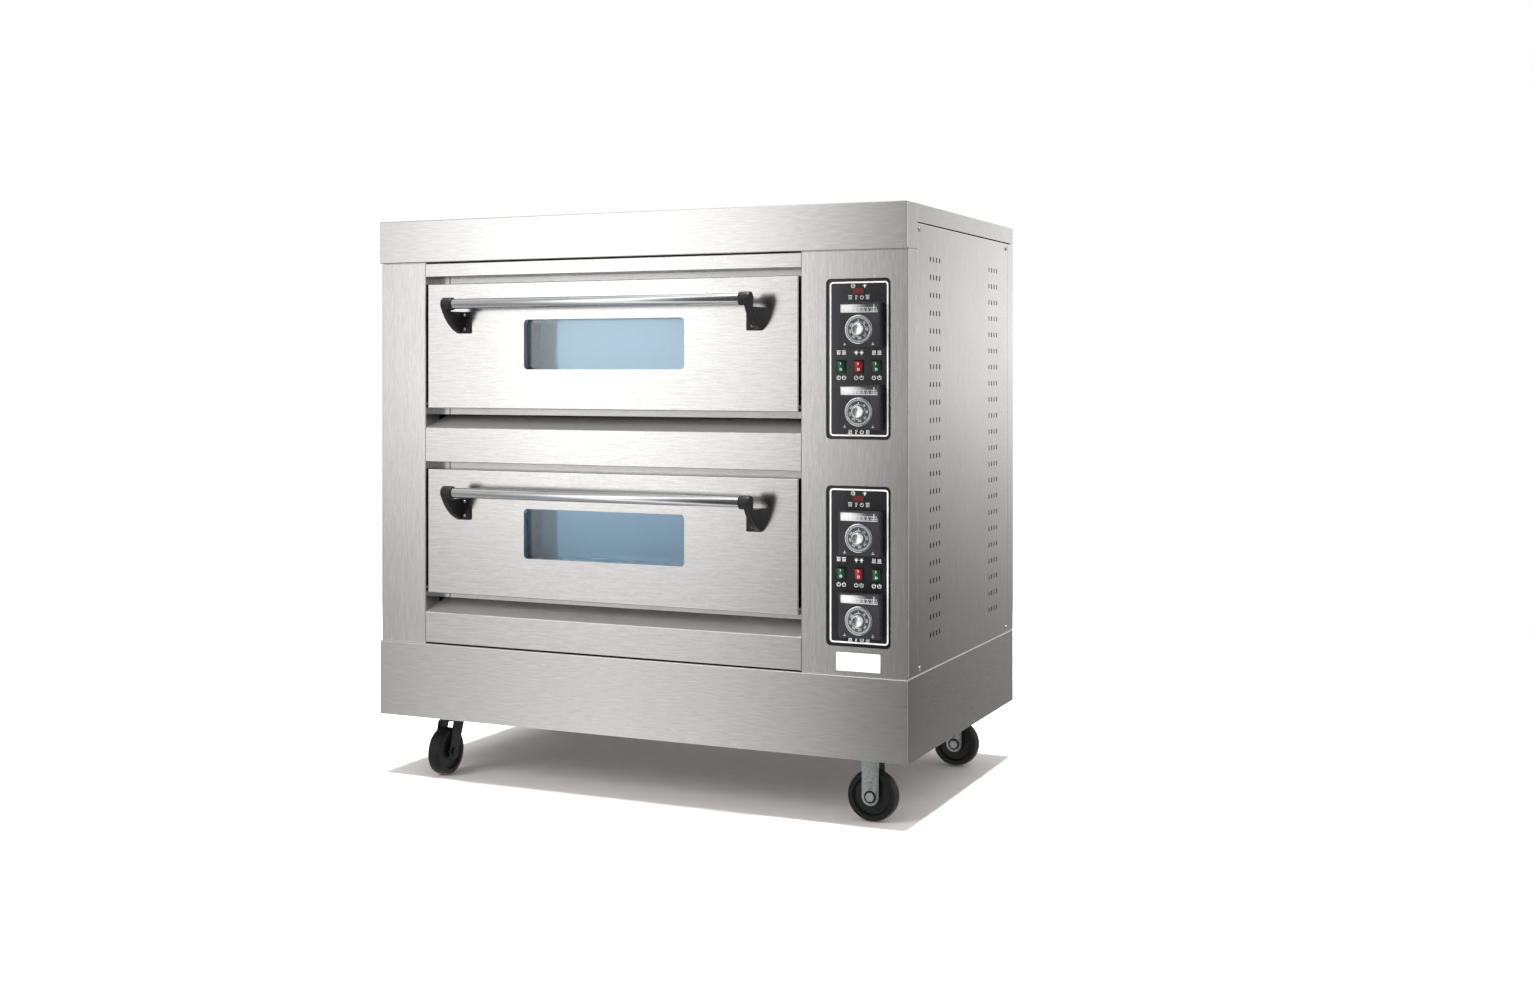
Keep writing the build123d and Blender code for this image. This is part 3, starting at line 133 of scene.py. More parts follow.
def brushed_stainless(
    name, grain_axis, light="#d6d4d2", dark="#bebcba", rough=(0.17, 0.23), matt_top=False
):
    """304 stainless, belt-ground: hairlines run one way and soften every reflection.

    Real hairlines are under 0.1 mm apart, so they are drawn as coarse as they need to show. With a
    matt top, faces that look up keep the mill's dull finish and take light from all round."""
    made, tree = new_material(name)
    lengths = [GRAIN, GRAIN, GRAIN]
    lengths["XYZ".index(grain_axis)] = STREAK
    lines = add(
        tree,
        "ShaderNodeTexNoise",
        {"Vector": object_pattern(tree, lengths), "Scale": 1.0, "Detail": 4.0, "Roughness": 0.65},
    ).outputs["Fac"]
    speckle = add(
        tree,
        "ShaderNodeTexNoise",
        {"Vector": object_pattern(tree, (GRAIN,) * 3), "Scale": 1.0, "Detail": 2.0},
    ).outputs["Fac"]
    cloud = add(
        tree,
        "ShaderNodeTexNoise",
        {"Vector": object_pattern(tree, (CLOUD,) * 3), "Scale": 1.0, "Detail": 1.0},
    ).outputs["Fac"]
    both = add(tree, "ShaderNodeMix", {"Factor": 0.35, "A": lines, "B": speckle}).outputs[0]
    tint = add(tree, "ShaderNodeValToRGB", {"Fac": both}, tones(dark, light)).outputs[0]
    reach = {"Value": cloud, "To Min": rough[0], "To Max": rough[1]}
    roughness = add(tree, "ShaderNodeMapRange", reach).outputs[0]
    inputs = {"Base Color": tint, "Metallic": 1.0, "Roughness": roughness}
    relief = {"Height": both, "Distance": 0.02 * MM, "Strength": BUMP_STRENGTH}
    inputs["Normal"] = add(tree, "ShaderNodeBump", relief).outputs[0]
    if matt_top:
        facing = add(tree, "ShaderNodeTexCoord").outputs["Normal"]
        upward = add(tree, "ShaderNodeSeparateXYZ", {"Vector": facing}).outputs["Z"]
        inputs["Metallic"] = add(
            tree,
            "ShaderNodeMapRange",
            {"Value": upward, "From Min": 0.4, "From Max": 0.8, "To Min": 1.0, "To Max": MATT_METALLIC},
        ).outputs[0]
    finish_material(tree, add(tree, "ShaderNodeBsdfPrincipled", inputs))
    return made


def polished_tube():
    """Stainless tube, polished along its length."""
    made, tree = new_material("polished stainless tube")
    lines = add(
        tree,
        "ShaderNodeTexNoise",
        {"Vector": object_pattern(tree, (90, 1.5, 1.5)), "Scale": 1.0, "Detail": 3.0},
    ).outputs["Fac"]
    tint = add(tree, "ShaderNodeValToRGB", {"Fac": lines}, tones("#cfd1d2", "#e4e5e6")).outputs[0]
    reach = {"Value": lines, "To Min": 0.14, "To Max": 0.24}
    inputs = {
        "Base Color": tint,
        "Metallic": 1.0,
        "Roughness": add(tree, "ShaderNodeMapRange", reach).outputs[0],
    }
    finish_material(tree, add(tree, "ShaderNodeBsdfPrincipled", inputs))
    return made


def mottled(name, light, dark, size_mm, metallic, rough, bump_mm, detail=4.0, **sockets):
    """A surface with a fine mottle in roughness, height and, where its two colours differ, in colour."""
    made, tree = new_material(name)
    noise = add(
        tree,
        "ShaderNodeTexNoise",
        {"Vector": object_pattern(tree, (size_mm,) * 3), "Scale": 1.0, "Detail": detail},
    ).outputs["Fac"]
    reach = {"Value": noise, "To Min": rough[0], "To Max": rough[1]}
    relief = {"Height": noise, "Distance": bump_mm * MM, "Strength": BUMP_STRENGTH}
    inputs = {
        "Base Color": colour(light),
        "Metallic": metallic,
        "Roughness": add(tree, "ShaderNodeMapRange", reach).outputs[0],
        "Normal": add(tree, "ShaderNodeBump", relief).outputs[0],
    }
    if dark != light:
        tint = add(tree, "ShaderNodeValToRGB", {"Fac": noise}, tones(dark, light))
        inputs["Base Color"] = tint.outputs[0]
    inputs.update({key.replace("_", " "): value for key, value in sockets.items()})
    finish_material(tree, add(tree, "ShaderNodeBsdfPrincipled", inputs))
    return made


def window_glass():
    """Clear toughened glass with a slight green-blue body."""
    made, tree = new_material("toughened glass")
    noise = add(
        tree,
        "ShaderNodeTexNoise",
        {"Vector": object_pattern(tree, (120, 120, 120)), "Scale": 1.0, "Detail": 1.0},
    ).outputs["Fac"]
    reach = {"Value": noise, "To Min": 0.0, "To Max": 0.03}
    inputs = {
        "Base Color": colour("#dfeaf0"),
        "Roughness": add(tree, "ShaderNodeMapRange", reach).outputs[0],
        "IOR": 1.5,
        "Transmission Weight": 1.0,
    }
    finish_material(tree, add(tree, "ShaderNodeBsdfPrincipled", inputs))
    return made


def coated_glass():
    """Heat-reflecting glass: a hard blue-grey coating that mirrors the room softly. Its colour is also
    painted paler higher up, a painted reflection of the bright room, so the upper door's pane is lighter
    than the lower one's.
    """
    made, tree = new_material("heat-reflecting glass")
    place = add(tree, "ShaderNodeTexCoord").outputs["Object"]
    height = add(tree, "ShaderNodeSeparateXYZ", {"Vector": place}).outputs["Z"]
    noise = add(
        tree,
        "ShaderNodeTexNoise",
        {"Vector": object_pattern(tree, (60, 60, 400)), "Scale": 1.0, "Detail": 2.0, "Distortion": 0.3},
    ).outputs["Fac"]
    # Height in metres, with a little mottle, drives the painted reflection: darker low down, paler high up.
    height_for_painted_reflection = add(tree, "ShaderNodeMath", {0: noise, 1: 0.04, 2: height}, operation="MULTIPLY_ADD").outputs[0]
    reach = {"Value": noise, "To Min": 0.12, "To Max": 0.2}
    painted_reflection_by_height = ((0.5, colour("#7da3bb")), (1.0, colour("#a9c1ce")))
    inputs = {
        "Base Color": add(tree, "ShaderNodeValToRGB", {"Fac": height_for_painted_reflection}, painted_reflection_by_height).outputs[0],
        "Metallic": 0.35,
        "Roughness": add(tree, "ShaderNodeMapRange", reach).outputs[0],
        "Coat Weight": 0.5,
        "Coat Roughness": 0.03,
    }
    finish_material(tree, add(tree, "ShaderNodeBsdfPrincipled", inputs))
    return made


def scale_plate():
    """A scale behind a smoked window, with painted light and shade: its left end is painted lit, its right
    end painted dark.
    """
    made, tree = new_material("smoked scale window, painted lit and shaded ends")
    low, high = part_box("controller_housings")
    place = add(tree, "ShaderNodeTexCoord").outputs["Object"]
    across = add(tree, "ShaderNodeSeparateXYZ", {"Vector": place}).outputs["X"]
    noise = add(
        tree,
        "ShaderNodeTexNoise",
        {"Vector": object_pattern(tree, (1.6, 1.6, 1.6)), "Scale": 1.0, "Detail": 3.0},
    ).outputs["Fac"]
    width = high.x - low.x
    share = add(
        tree,
        "ShaderNodeMapRange",
        {"Value": across, "From Min": low.x + width * 0.2, "From Max": low.x + width * 0.72},
        interpolation_type="SMOOTHSTEP",
    ).outputs[0]
    bright = add(tree, "ShaderNodeValToRGB", {"Fac": noise}, tones("#c9cac8", "#dcdddb")).outputs[0]
    reach = {"Value": noise, "To Min": 0.2, "To Max": 0.3}
    # Painted light and shade: the lit colour at the left end fades to a dark grey at the right.
    both = {"Factor": share, 6: bright, 7: colour("#3c3d40")}
    inputs = {
        "Base Color": add(tree, "ShaderNodeMix", both, data_type="RGBA").outputs[2],
        "Roughness": add(tree, "ShaderNodeMapRange", reach).outputs[0],
        "Coat Weight": 0.3,
    }
    finish_material(tree, add(tree, "ShaderNodeBsdfPrincipled", inputs))
    return made


def printed_ink(name, code):
    """Screen-printed ink: dense, matt, with slightly uneven coverage."""
    return mottled(name, code, code, 1.2, 0.0, (0.45, 0.6), 0.005)


# Steel sheet: hairlines run along each part's longer way.
STEEL_X = brushed_stainless("stainless, ground crosswise", "X")
STEEL_Z = brushed_stainless("stainless, ground upright", "Z")
STEEL_Y = brushed_stainless("stainless, ground front to back", "Y", rough=(0.19, 0.25))
# Rails with a bent-back sill: the sill is duller, so it stays light under the door.
STEEL_SILL = brushed_stainless("stainless rail with a mill-finish sill", "X", matt_top=True)
# The chamber's own frame: a darker, rougher copy of the door steel. The darkening is painted shade, for the
# shadow that falls in the gaps round the doors.
STEEL_FRAME_PAINTED_SHADE = brushed_stainless("stainless chamber frame, darkened as painted shade", "X", "#c6c4c2", "#aeacaa", (0.24, 0.3))
# Hot-dip aluminised sheet: soft grey with a faint crystal pattern.
LINER = mottled("aluminised steel", "#b9bbbb", "#9da0a1", 9, 1.0, (0.35, 0.5), 0.02)
# Blued plate: nearly black, with a dull metal gleam.
HEARTH = mottled("blued steel plate", "#3a3b3e", "#26272a", 14, 0.8, (0.45, 0.6), 0.05)
# Brushed-on primer: dull black.
CHASSIS = mottled("black primer paint", "#26272a", "#1a1b1d", 5, 0.0, (0.45, 0.6), 0.03)
# Pressed fibre: white and fluffy, with no gloss.
WOOL = mottled("ceramic fibre blanket", "#e2e2de", "#bfbfba", 3, 0.0, (0.85, 0.95), 0.6, 8.0)
# Heated sheath: brown-grey from heat.
SHEATH = mottled("heated nickel-alloy sheath", "#6a6460", "#3f3b3a", 6, 0.85, (0.4, 0.55), 0.02)
TUBE = polished_tube()
# Moulded plastics: black, grey or textured, with a low even gloss.
BLACK_ABS = mottled("moulded black plastic", "#141416", "#0c0c0e", 0.9, 0.0, (0.32, 0.42), 0.03)
DEVICE = mottled("moulded grey plastic", "#b9b9b3", "#a9a9a3", 1.2, 0.0, (0.4, 0.5), 0.03)
# Back-printed acrylic: deep gloss black.
PANEL = mottled("gloss black acrylic", "#1a1b1e", "#131417", 3, 0.0, (0.08, 0.14), 0.004, Coat_Weight=0.4)
HOUSING = mottled("spark-textured black plastic", "#2b2b2e", "#202023", 0.8, 0.0, (0.38, 0.5), 0.04)
# Turned aluminium: bright knob over a dark anodised ring.
ALUMINIUM = mottled("satin anodised aluminium", "#fcfcfc", "#f1f2f2", 0.8, 1.0, (0.2, 0.3), 0.01)
DIAL_BODY = mottled("anodised grey dial", "#45494d", "#393d40", 1.5, 0.3, (0.4, 0.5), 0.01)
# Screen inks: flat and matt, against the gloss under them.
SILVER_INK = printed_ink("silver ink", "#dde3e5")
WHITE_INK = printed_ink("white ink", "#e9ebea")
BLACK_INK = printed_ink("black ink", "#17181a")
SCALE_PLATE = scale_plate()
# Tinted clear plastic: dark, with a wet gloss.
GREEN = mottled("green polycarbonate", "#0a4529", "#073420", 3, 0.0, (0.12, 0.2), 0.004, Coat_Weight=0.3)
RED = mottled("red polycarbonate", "#8c1014", "#6a0b0e", 3, 0.0, (0.12, 0.2), 0.004, Coat_Weight=0.3)
PILOT = mottled("red lamp lens", "#6b1014", "#4a0a0d", 2, 0.0, (0.12, 0.2), 0.004, Coat_Weight=0.3)
# Plated and pressed steel: grey, softly patchy.
ZINC = mottled("bright zinc plate", "#c6c8c8", "#a7aaab", 5, 1.0, (0.25, 0.4), 0.01)
FORK_GREY = mottled("galvanised pressed steel", "#b4b6b7", "#8f9293", 4, 0.9, (0.35, 0.5), 0.03)
# Dip-coated fork: even satin black.
FORK_BLACK = mottled("black e-coat", "#121214", "#0a0a0b", 4, 0.0, (0.3, 0.42), 0.02)
# Rubber and nylon: the tyre is the duller of the two blacks.
TYRE = mottled("solid black rubber", "#080808", "#050505", 1.4, 0.0, (0.55, 0.7), 0.05)
HUB = mottled("moulded black nylon", "#0c0c0d", "#080809", 2, 0.0, (0.45, 0.55), 0.02)
# Frosted glass: a warm, milky cover.
LENS = mottled(
    "frosted lamp glass", "#f2efe2", "#e6e2d2", 3, 0.0, (0.25, 0.35), 0.01, Transmission_Weight=0.6
)
# Window panes: a clear one in front of a mirror-like blue-grey one.
GLASS = window_glass()
COATED = coated_glass()
# Vinyl: clean white with a thin tinted rule.
LABEL = mottled("white vinyl label", "#f4f6f6", "#eceeee", 6, 0.0, (0.3, 0.38), 0.005)
LABEL_EDGE = printed_ink("pale blue ink", "#8cc3cf")

NODE_MATERIALS = {
    "chassis": CHASSIS,
    "front_skirt": STEEL_X,
    "rear_skirt": STEEL_Y,
    "front_fascia": STEEL_X,
    "top_cover": STEEL_Y,
    "left_column": STEEL_Z,
    "control_column": STEEL_Z,
    "right_corner_post": STEEL_Z,
    "left_side_panel": STEEL_Z,
    "right_side_panel": STEEL_Z,
    "rear_panel": STEEL_X,
    "top_rail": STEEL_X,
    "middle_rail": STEEL_SILL,
    "bottom_rail": STEEL_SILL,
    "panel_screws": ZINC,
    "cable_gland": BLACK_ABS,
    "electrics_partition": LINER,
    "contactors": DEVICE,
    # The chamber frames take the darkened steel: painted shade for the gaps round the doors.
    "chamber_frames": STEEL_FRAME_PAINTED_SHADE,
    "chamber_liners": LINER,
    "chamber_insulation": WOOL,
    "hearth_plates": HEARTH,
    "heating_elements": SHEATH,
    "temperature_probes": SHEATH,
    "chamber_lamps": LENS,
    "door_hinge_pins": ZINC,
    "control_plates": PANEL,
    "controller_housings": HOUSING,
    "pilot_lamps": PILOT,
    "switch_bezels": BLACK_ABS,
    "rigid_castor_forks": FORK_GREY,
    "swivel_castor_plates": ZINC,
    "door_skin": STEEL_X,
    "door_inner_panel": LINER,
    "door_panes": GLASS,
    "door_insulation": WOOL,
    "handle_bar": TUBE,
    "handle_brackets": BLACK_ABS,
    "heat_dial": ALUMINIUM,
    "top_heat_rocker": GREEN,
    "lamp_rocker": RED,
    "bottom_heat_rocker": GREEN,
    "castor_fork": FORK_BLACK,
    "wheel": TYRE,
}


def material_for(node):
    """The material of a CAD node, by its whole name or by how its name ends."""
    if node in NODE_MATERIALS:
        return NODE_MATERIALS[node]
    endings = [name for name in NODE_MATERIALS if node.endswith(name)]
    return NODE_MATERIALS[max(endings, key=len)]


for node_name, node_object in frame["nodes"].items():
    for slot in node_object.material_slots:
        slot.material = material_for(node_name)


# ---------------------------------------------------------------- mesh helpers
def piece(name, mesh, body, slot, *materials):
    """A finished piece that rides on a body, with its materials in slot order."""
    made = bpy.data.objects.new(name, mesh)
    bpy.context.scene.collection.objects.link(made)
    if mesh.materials:
        mesh.materials.clear()
    for entry in materials:
        mesh.materials.append(entry)
    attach(made, body)
    return made


def merged_copy(node):
    """A CAD node's mesh with its doubles merged and its flat faces joined up."""
    mesh = frame["nodes"][node].data.copy()
    work = bmesh.new()
    work.from_mesh(mesh)
    bmesh.ops.remove_doubles(work, verts=work.verts, dist=0.002 * MM)
    bmesh.ops.dissolve_limit(work, angle_limit=math.radians(0.5), verts=work.verts, edges=work.edges)
    work.to_mesh(mesh)
    work.free()
    return mesh


def softened(node, edge_mm, slot, *materials, name=None):
    """Stands for a CAD node with its sharp edges rounded and its curves shaded smooth."""
    body = frame["nodes"][node]["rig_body"]
    mesh = merged_copy(node)
    work = bmesh.new()
    work.from_mesh(mesh)
    sharp = [edge for edge in work.edges if len(edge.link_faces) == 2 and edge.calc_face_angle(0) > SHARP]
    bmesh.ops.bevel(
        work, geom=sharp, offset=edge_mm * MM, segments=2, affect="EDGES", profile=0.6, clamp_overlap=True
    )
    work.to_mesh(mesh)
    work.free()
    mesh.shade_smooth()
    mesh.set_sharp_from_angle(angle=SHARP)
    made = piece(name or node + "_shape", mesh, body, slot, *materials)
    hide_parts(node)
    return made


AXES = {
    "X": Matrix.Rotation(math.radians(90), 4, "Y"),
    "Y": Matrix.Rotation(math.radians(90), 4, "X"),
    "Z": Matrix.Identity(4),
}


def lathe(profile, centre, axis, steps=64):
    """A closed turned mesh. The profile is (radius, height, material index) round the section, in mm.

    Along Y, the height runs towards the front."""
    work = bmesh.new()
    rings = []
    for radius, height, _ in profile:
        ring = []
        for step in range(steps):
            angle = 2 * math.pi * step / steps
            place = (radius * math.cos(angle) * MM, radius * math.sin(angle) * MM, height * MM)
            ring.append(work.verts.new(place))
        rings.append(ring)
    for index, (_, _, number) in enumerate(profile):
        here, after = rings[index], rings[(index + 1) % len(rings)]
        for step in range(steps):
            following = (step + 1) % steps
            face = work.faces.new((here[step], here[following], after[following], after[step]))
            face.material_index = number
    bmesh.ops.remove_doubles(work, verts=work.verts, dist=0.001 * MM)
    bmesh.ops.dissolve_degenerate(work, edges=work.edges, dist=0.001 * MM)
    bmesh.ops.recalc_face_normals(work, faces=work.faces)
    bmesh.ops.transform(work, matrix=Matrix.Translation(centre) @ AXES[axis], verts=work.verts)
    return shaded(work)


def shaded(work):
    """The finished mesh, shaded smooth except over sharp edges."""
    mesh = bpy.data.meshes.new("mesh")
    work.to_mesh(mesh)
    work.free()
    mesh.shade_smooth()
    mesh.set_sharp_from_angle(angle=SHARP)
    return mesh


def slab(work, outline, y_front, y_back):
    """Adds a closed plate to a bmesh: an outline in X and Z between two Y levels."""
    front = [work.verts.new((x, y_front, z)) for x, z in outline]
    back = [work.verts.new((x, y_back, z)) for x, z in outline]
    work.faces.new(front)
    work.faces.new(list(reversed(back)))
    for i in range(len(outline)):
        j = (i + 1) % len(outline)
        work.faces.new((front[j], front[i], back[i], back[j]))


def rounded_outline(x, z, width, height, radius, steps=6):
    """A rounded rectangle about a centre, anticlockwise as seen from the front."""
    points = []
    corners = ((1, 1, 0), (-1, 1, 90), (-1, -1, 180), (1, -1, 270))
    for side, rise, start in corners:
        corner = Vector((x + side * (width / 2 - radius), z + rise * (height / 2 - radius)))
        for step in range(steps + 1):
            angle = math.radians(start + 90 * step / steps)
            points.append(corner + Vector((math.cos(angle), math.sin(angle))) * radius)
    return [(point.x, point.y) for point in points]


def frame_ring(work, x, z, width, height, radius, line, y_front, y_back):
    """Adds a closed rounded frame of a given line width to a bmesh."""
    outer = rounded_outline(x, z, width, height, radius)
    inner = rounded_outline(x, z, width - 2 * line, height - 2 * line, radius - line)
    rows = []
    for outline, y in ((outer, y_front), (outer, y_back), (inner, y_back), (inner, y_front)):
        rows.append([work.verts.new((px, y, pz)) for px, pz in outline])
    for i, here in enumerate(rows):
        after = rows[(i + 1) % len(rows)]
        for j in range(len(here)):
            k = (j + 1) % len(here)
            work.faces.new((here[k], here[j], after[j], after[k]))


def bar(x0, z0, x1, z1):
    """A rectangle outline between two corners."""
    return [(x0, z0), (x1, z0), (x1, z1), (x0, z1)]


def marks(outlines, y_surface, thickness=0.12 * MM):
    """One mesh of thin printed marks on a surface that faces the front."""
    work = bmesh.new()
    for outline in outlines:
        slab(work, outline, y_surface - thickness, y_surface)
    bmesh.ops.recalc_face_normals(work, faces=work.faces)
    return shaded(work)


def half_box(node, deck):
    """The box of a node's upper or lower half: for nodes that hold one solid in each deck."""
    low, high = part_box(node)
    middle = (low.z + high.z) / 2
    points = [v.co for v in frame["nodes"][node].data.vertices if (v.co.z > middle) == (deck == "upper")]
    lows = [min(point[i] for point in points) for i in range(3)]
    highs = [max(point[i] for point in points) for i in range(3)]
    return Vector(lows), Vector(highs)


def centre_of(box):
    return (box[0] + box[1]) / 2


# ---------------------------------------------------------------- repeats by geometry nodes
def repeat_tree(name, on_ring):
    """A tree of small bars, set round a ring or along a row, with every size as an input."""
    tree = bpy.data.node_groups.new(name, "GeometryNodeTree")
    tree.interface.new_socket("Geometry", in_out="OUTPUT", socket_type="NodeSocketGeometry")
    tree.interface.new_socket("Count", in_out="INPUT", socket_type="NodeSocketInt")
    for label in ("Span", "Length", "Width", "Depth"):
        tree.interface.new_socket(label, in_out="INPUT", socket_type="NodeSocketFloat")
    tree.interface.new_socket("Material", in_out="INPUT", socket_type="NodeSocketMaterial")
    given = add(tree, "NodeGroupInput").outputs
    size = add(
        tree, "ShaderNodeCombineXYZ", {"X": given["Width"], "Y": given["Depth"], "Z": given["Length"]}
    ).outputs[0]
    block = add(tree, "GeometryNodeMeshCube", {"Size": size}).outputs["Mesh"]
    if on_ring:
        ring = add(
            tree,
            "GeometryNodeMeshCircle",
            {"Vertices": given["Count"], "Radius": given["Span"]},
        ).outputs["Mesh"]
        upright = add(
            tree, "GeometryNodeTransform", {"Geometry": ring, "Rotation": (math.radians(90), 0, 0)}
        ).outputs[0]
        place = add(tree, "GeometryNodeInputPosition").outputs[0]
        turn = add(
            tree, "FunctionNodeAlignRotationToVector", {"Vector": place}, axis="Z", pivot_axis="Y"
        ).outputs[0]
        points = upright
    else:
        half = add(tree, "ShaderNodeMath", {0: given["Span"], 1: 0.5}, operation="MULTIPLY").outputs[0]
        minus = add(tree, "ShaderNodeMath", {0: given["Span"], 1: -0.5}, operation="MULTIPLY").outputs[0]
        start = add(tree, "ShaderNodeCombineXYZ", {"X": minus}).outputs[0]
        end = add(tree, "ShaderNodeCombineXYZ", {"X": half}).outputs[0]
        points = add(
            tree,
            "GeometryNodeMeshLine",
            {"Count": given["Count"], "Start Location": start, "Offset": end},
            mode="END_POINTS",
        ).outputs[0]
        turn = (0.0, 0.0, 0.0)
    copies = add(
        tree, "GeometryNodeInstanceOnPoints", {"Points": points, "Instance": block, "Rotation": turn}
    ).outputs[0]
    real = add(tree, "GeometryNodeRealizeInstances", {"Geometry": copies}).outputs[0]
    painted = add(
        tree, "GeometryNodeSetMaterial", {"Geometry": real, "Material": given["Material"]}
    ).outputs[0]
    add(tree, "NodeGroupOutput", {0: painted})
    return tree


RING_TREE = repeat_tree("bars round a ring", True)
ROW_TREE = repeat_tree("bars in a row", False)


def repeated(name, tree, place, body, slot, material, **sizes):
    """Runs a repeat tree with its sizes in mm and turns the result into a plain piece."""
    holder = bpy.data.objects.new(name + "_maker", bpy.data.meshes.new("empty"))
    bpy.context.scene.collection.objects.link(holder)
    modifier = holder.modifiers.new("repeat", "NODES")
    modifier.node_group = tree
    for item in tree.interface.items_tree:
        if item.item_type != "SOCKET" or item.in_out != "INPUT":
            continue
        if item.name == "Material":
            modifier[item.identifier] = material
        elif item.name == "Count":
            modifier[item.identifier] = sizes["count"]
        else:
            modifier[item.identifier] = sizes[item.name.lower()] * MM
    ready = holder.evaluated_get(bpy.context.evaluated_depsgraph_get())
    mesh = bpy.data.meshes.new_from_object(ready)
    bpy.data.objects.remove(holder)
    mesh.transform(Matrix.Translation(place))
    return piece(name, mesh, body, slot, material)


# ---------------------------------------------------------------- lettering that is only numbers
def number_mesh(text, size_mm, depth_mm=0.12):
    """A number as a mesh in the XZ plane, facing the front and centred on the origin."""
    curve = bpy.data.curves.new("number", "FONT")
    curve.body = text
    curve.size = size_mm * MM
    curve.extrude = depth_mm * MM / 2
    curve.align_x = "CENTER"
    curve.align_y = "CENTER"
    curve.resolution_u = 3
    holder = bpy.data.objects.new("number", curve)
    bpy.context.scene.collection.objects.link(holder)
    ready = holder.evaluated_get(bpy.context.evaluated_depsgraph_get())
    mesh = bpy.data.meshes.new_from_object(ready)
    bpy.data.objects.remove(holder)
    mesh.transform(Matrix.Rotation(math.radians(90), 4, "X"))
    return mesh


def joined(meshes):
    """One mesh from several."""
    work = bmesh.new()
    for mesh in meshes:
        work.from_mesh(mesh)
    return shaded(work)


# ---------------------------------------------------------------- controls
# All in mm, but for the dial's count of numbers and its sweep in degrees.
DIAL_STEPS = 8
DIAL_SWEEP = 300
DISC_DEPTH = 1.2
KNOB_HEIGHT = 9.0
KNOB_RADIUS = 11.75
SCALE_RISE = 40.7
SCALE_DEPTH = 3.0
SCALE_SPAN = 70
SCALE_HALF_WIDTH = 38.6
SCALE_HALF_HEIGHT = 8.1
PANEL_LAP = 8
PANEL_LINE_INSET = 6.2
LABEL_WIDTH = 91
LABEL_HEIGHT = 36
LABEL_RADIUS = 2
LABEL_MARGIN = 5
LABEL_DROP = 21.5


def dial(which):
    """Disc, graduations, numbers and knob of one heat control, all turning together."""
    node = which + "_heat_dial"
    low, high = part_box(node)
    x, z = (low.x + high.x) / 2, (low.z + high.z) / 2
    radius = (high.x - low.x) / 2 / MM
    front = low.y
    disc_face = front + KNOB_HEIGHT * MM
    centre = Vector((x, disc_face, z))
    profile = [
        (0, -DISC_DEPTH, 0),
        (radius, -DISC_DEPTH, 1),
        (radius, -0.3, 1),
        (radius - 0.5, 0.0, 1),
        (radius - 1.6, 0.0, 0),
        (radius - 1.9, -0.25, 0),
        (KNOB_RADIUS + 3.2, -0.25, 1),
        (KNOB_RADIUS + 2.6, 0.05, 1),
        (KNOB_RADIUS + 2.0, -0.25, 0),
        (KNOB_RADIUS, -0.25, 1),
        (KNOB_RADIUS, KNOB_HEIGHT - 1.2, 1),
        (KNOB_RADIUS - 1.0, KNOB_HEIGHT - 0.2, 1),
        (KNOB_RADIUS - 1.8, KNOB_HEIGHT, 1),
        (KNOB_RADIUS - 3.4, KNOB_HEIGHT - 0.5, 1),
        (0, KNOB_HEIGHT - 0.5, 1),
    ]
    body = piece(which + "_dial_disc", lathe(profile, centre, "Y"), node, "dial", DIAL_BODY, ALUMINIUM)
    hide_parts(node)
    tick_place = Vector((x, disc_face + 0.22 * MM, z))
    repeated(
        which + "_dial_ticks", RING_TREE, tick_place, node, "dial", SILVER_INK,
        count=72, span=radius - 4.4, length=3.4, width=0.6, depth=0.12,
    )
    repeated(
        which + "_knob_grip", RING_TREE, centre + Vector((0, -4.0 * MM, 0)), node, "dial", ALUMINIUM,
        count=40, span=KNOB_RADIUS - 0.05, length=0.5, width=0.9, depth=6.0,
    )
    numbers = []
    for step in range(DIAL_STEPS):
        angle = -math.radians(DIAL_SWEEP * step / (DIAL_STEPS - 1))
        mesh = number_mesh(str(50 * step), 5.0)
        lift = Matrix.Translation((0, 0, (radius - 10.6) * MM))
        turn = Matrix.Rotation(-angle, 4, "Y")
        mesh.transform(Matrix.Translation((x, disc_face + 0.2 * MM, z)) @ turn @ lift)
        numbers.append(mesh)
    piece(which + "_dial_numbers", joined(numbers), node, "dial", SILVER_INK)
    pointer = marks([bar(x - 0.6 * MM, z + 2 * MM, x + 0.6 * MM, z + 7.8 * MM)], front + 0.5 * MM)
    piece(which + "_knob_pointer", pointer, node, "dial", BLACK_INK)


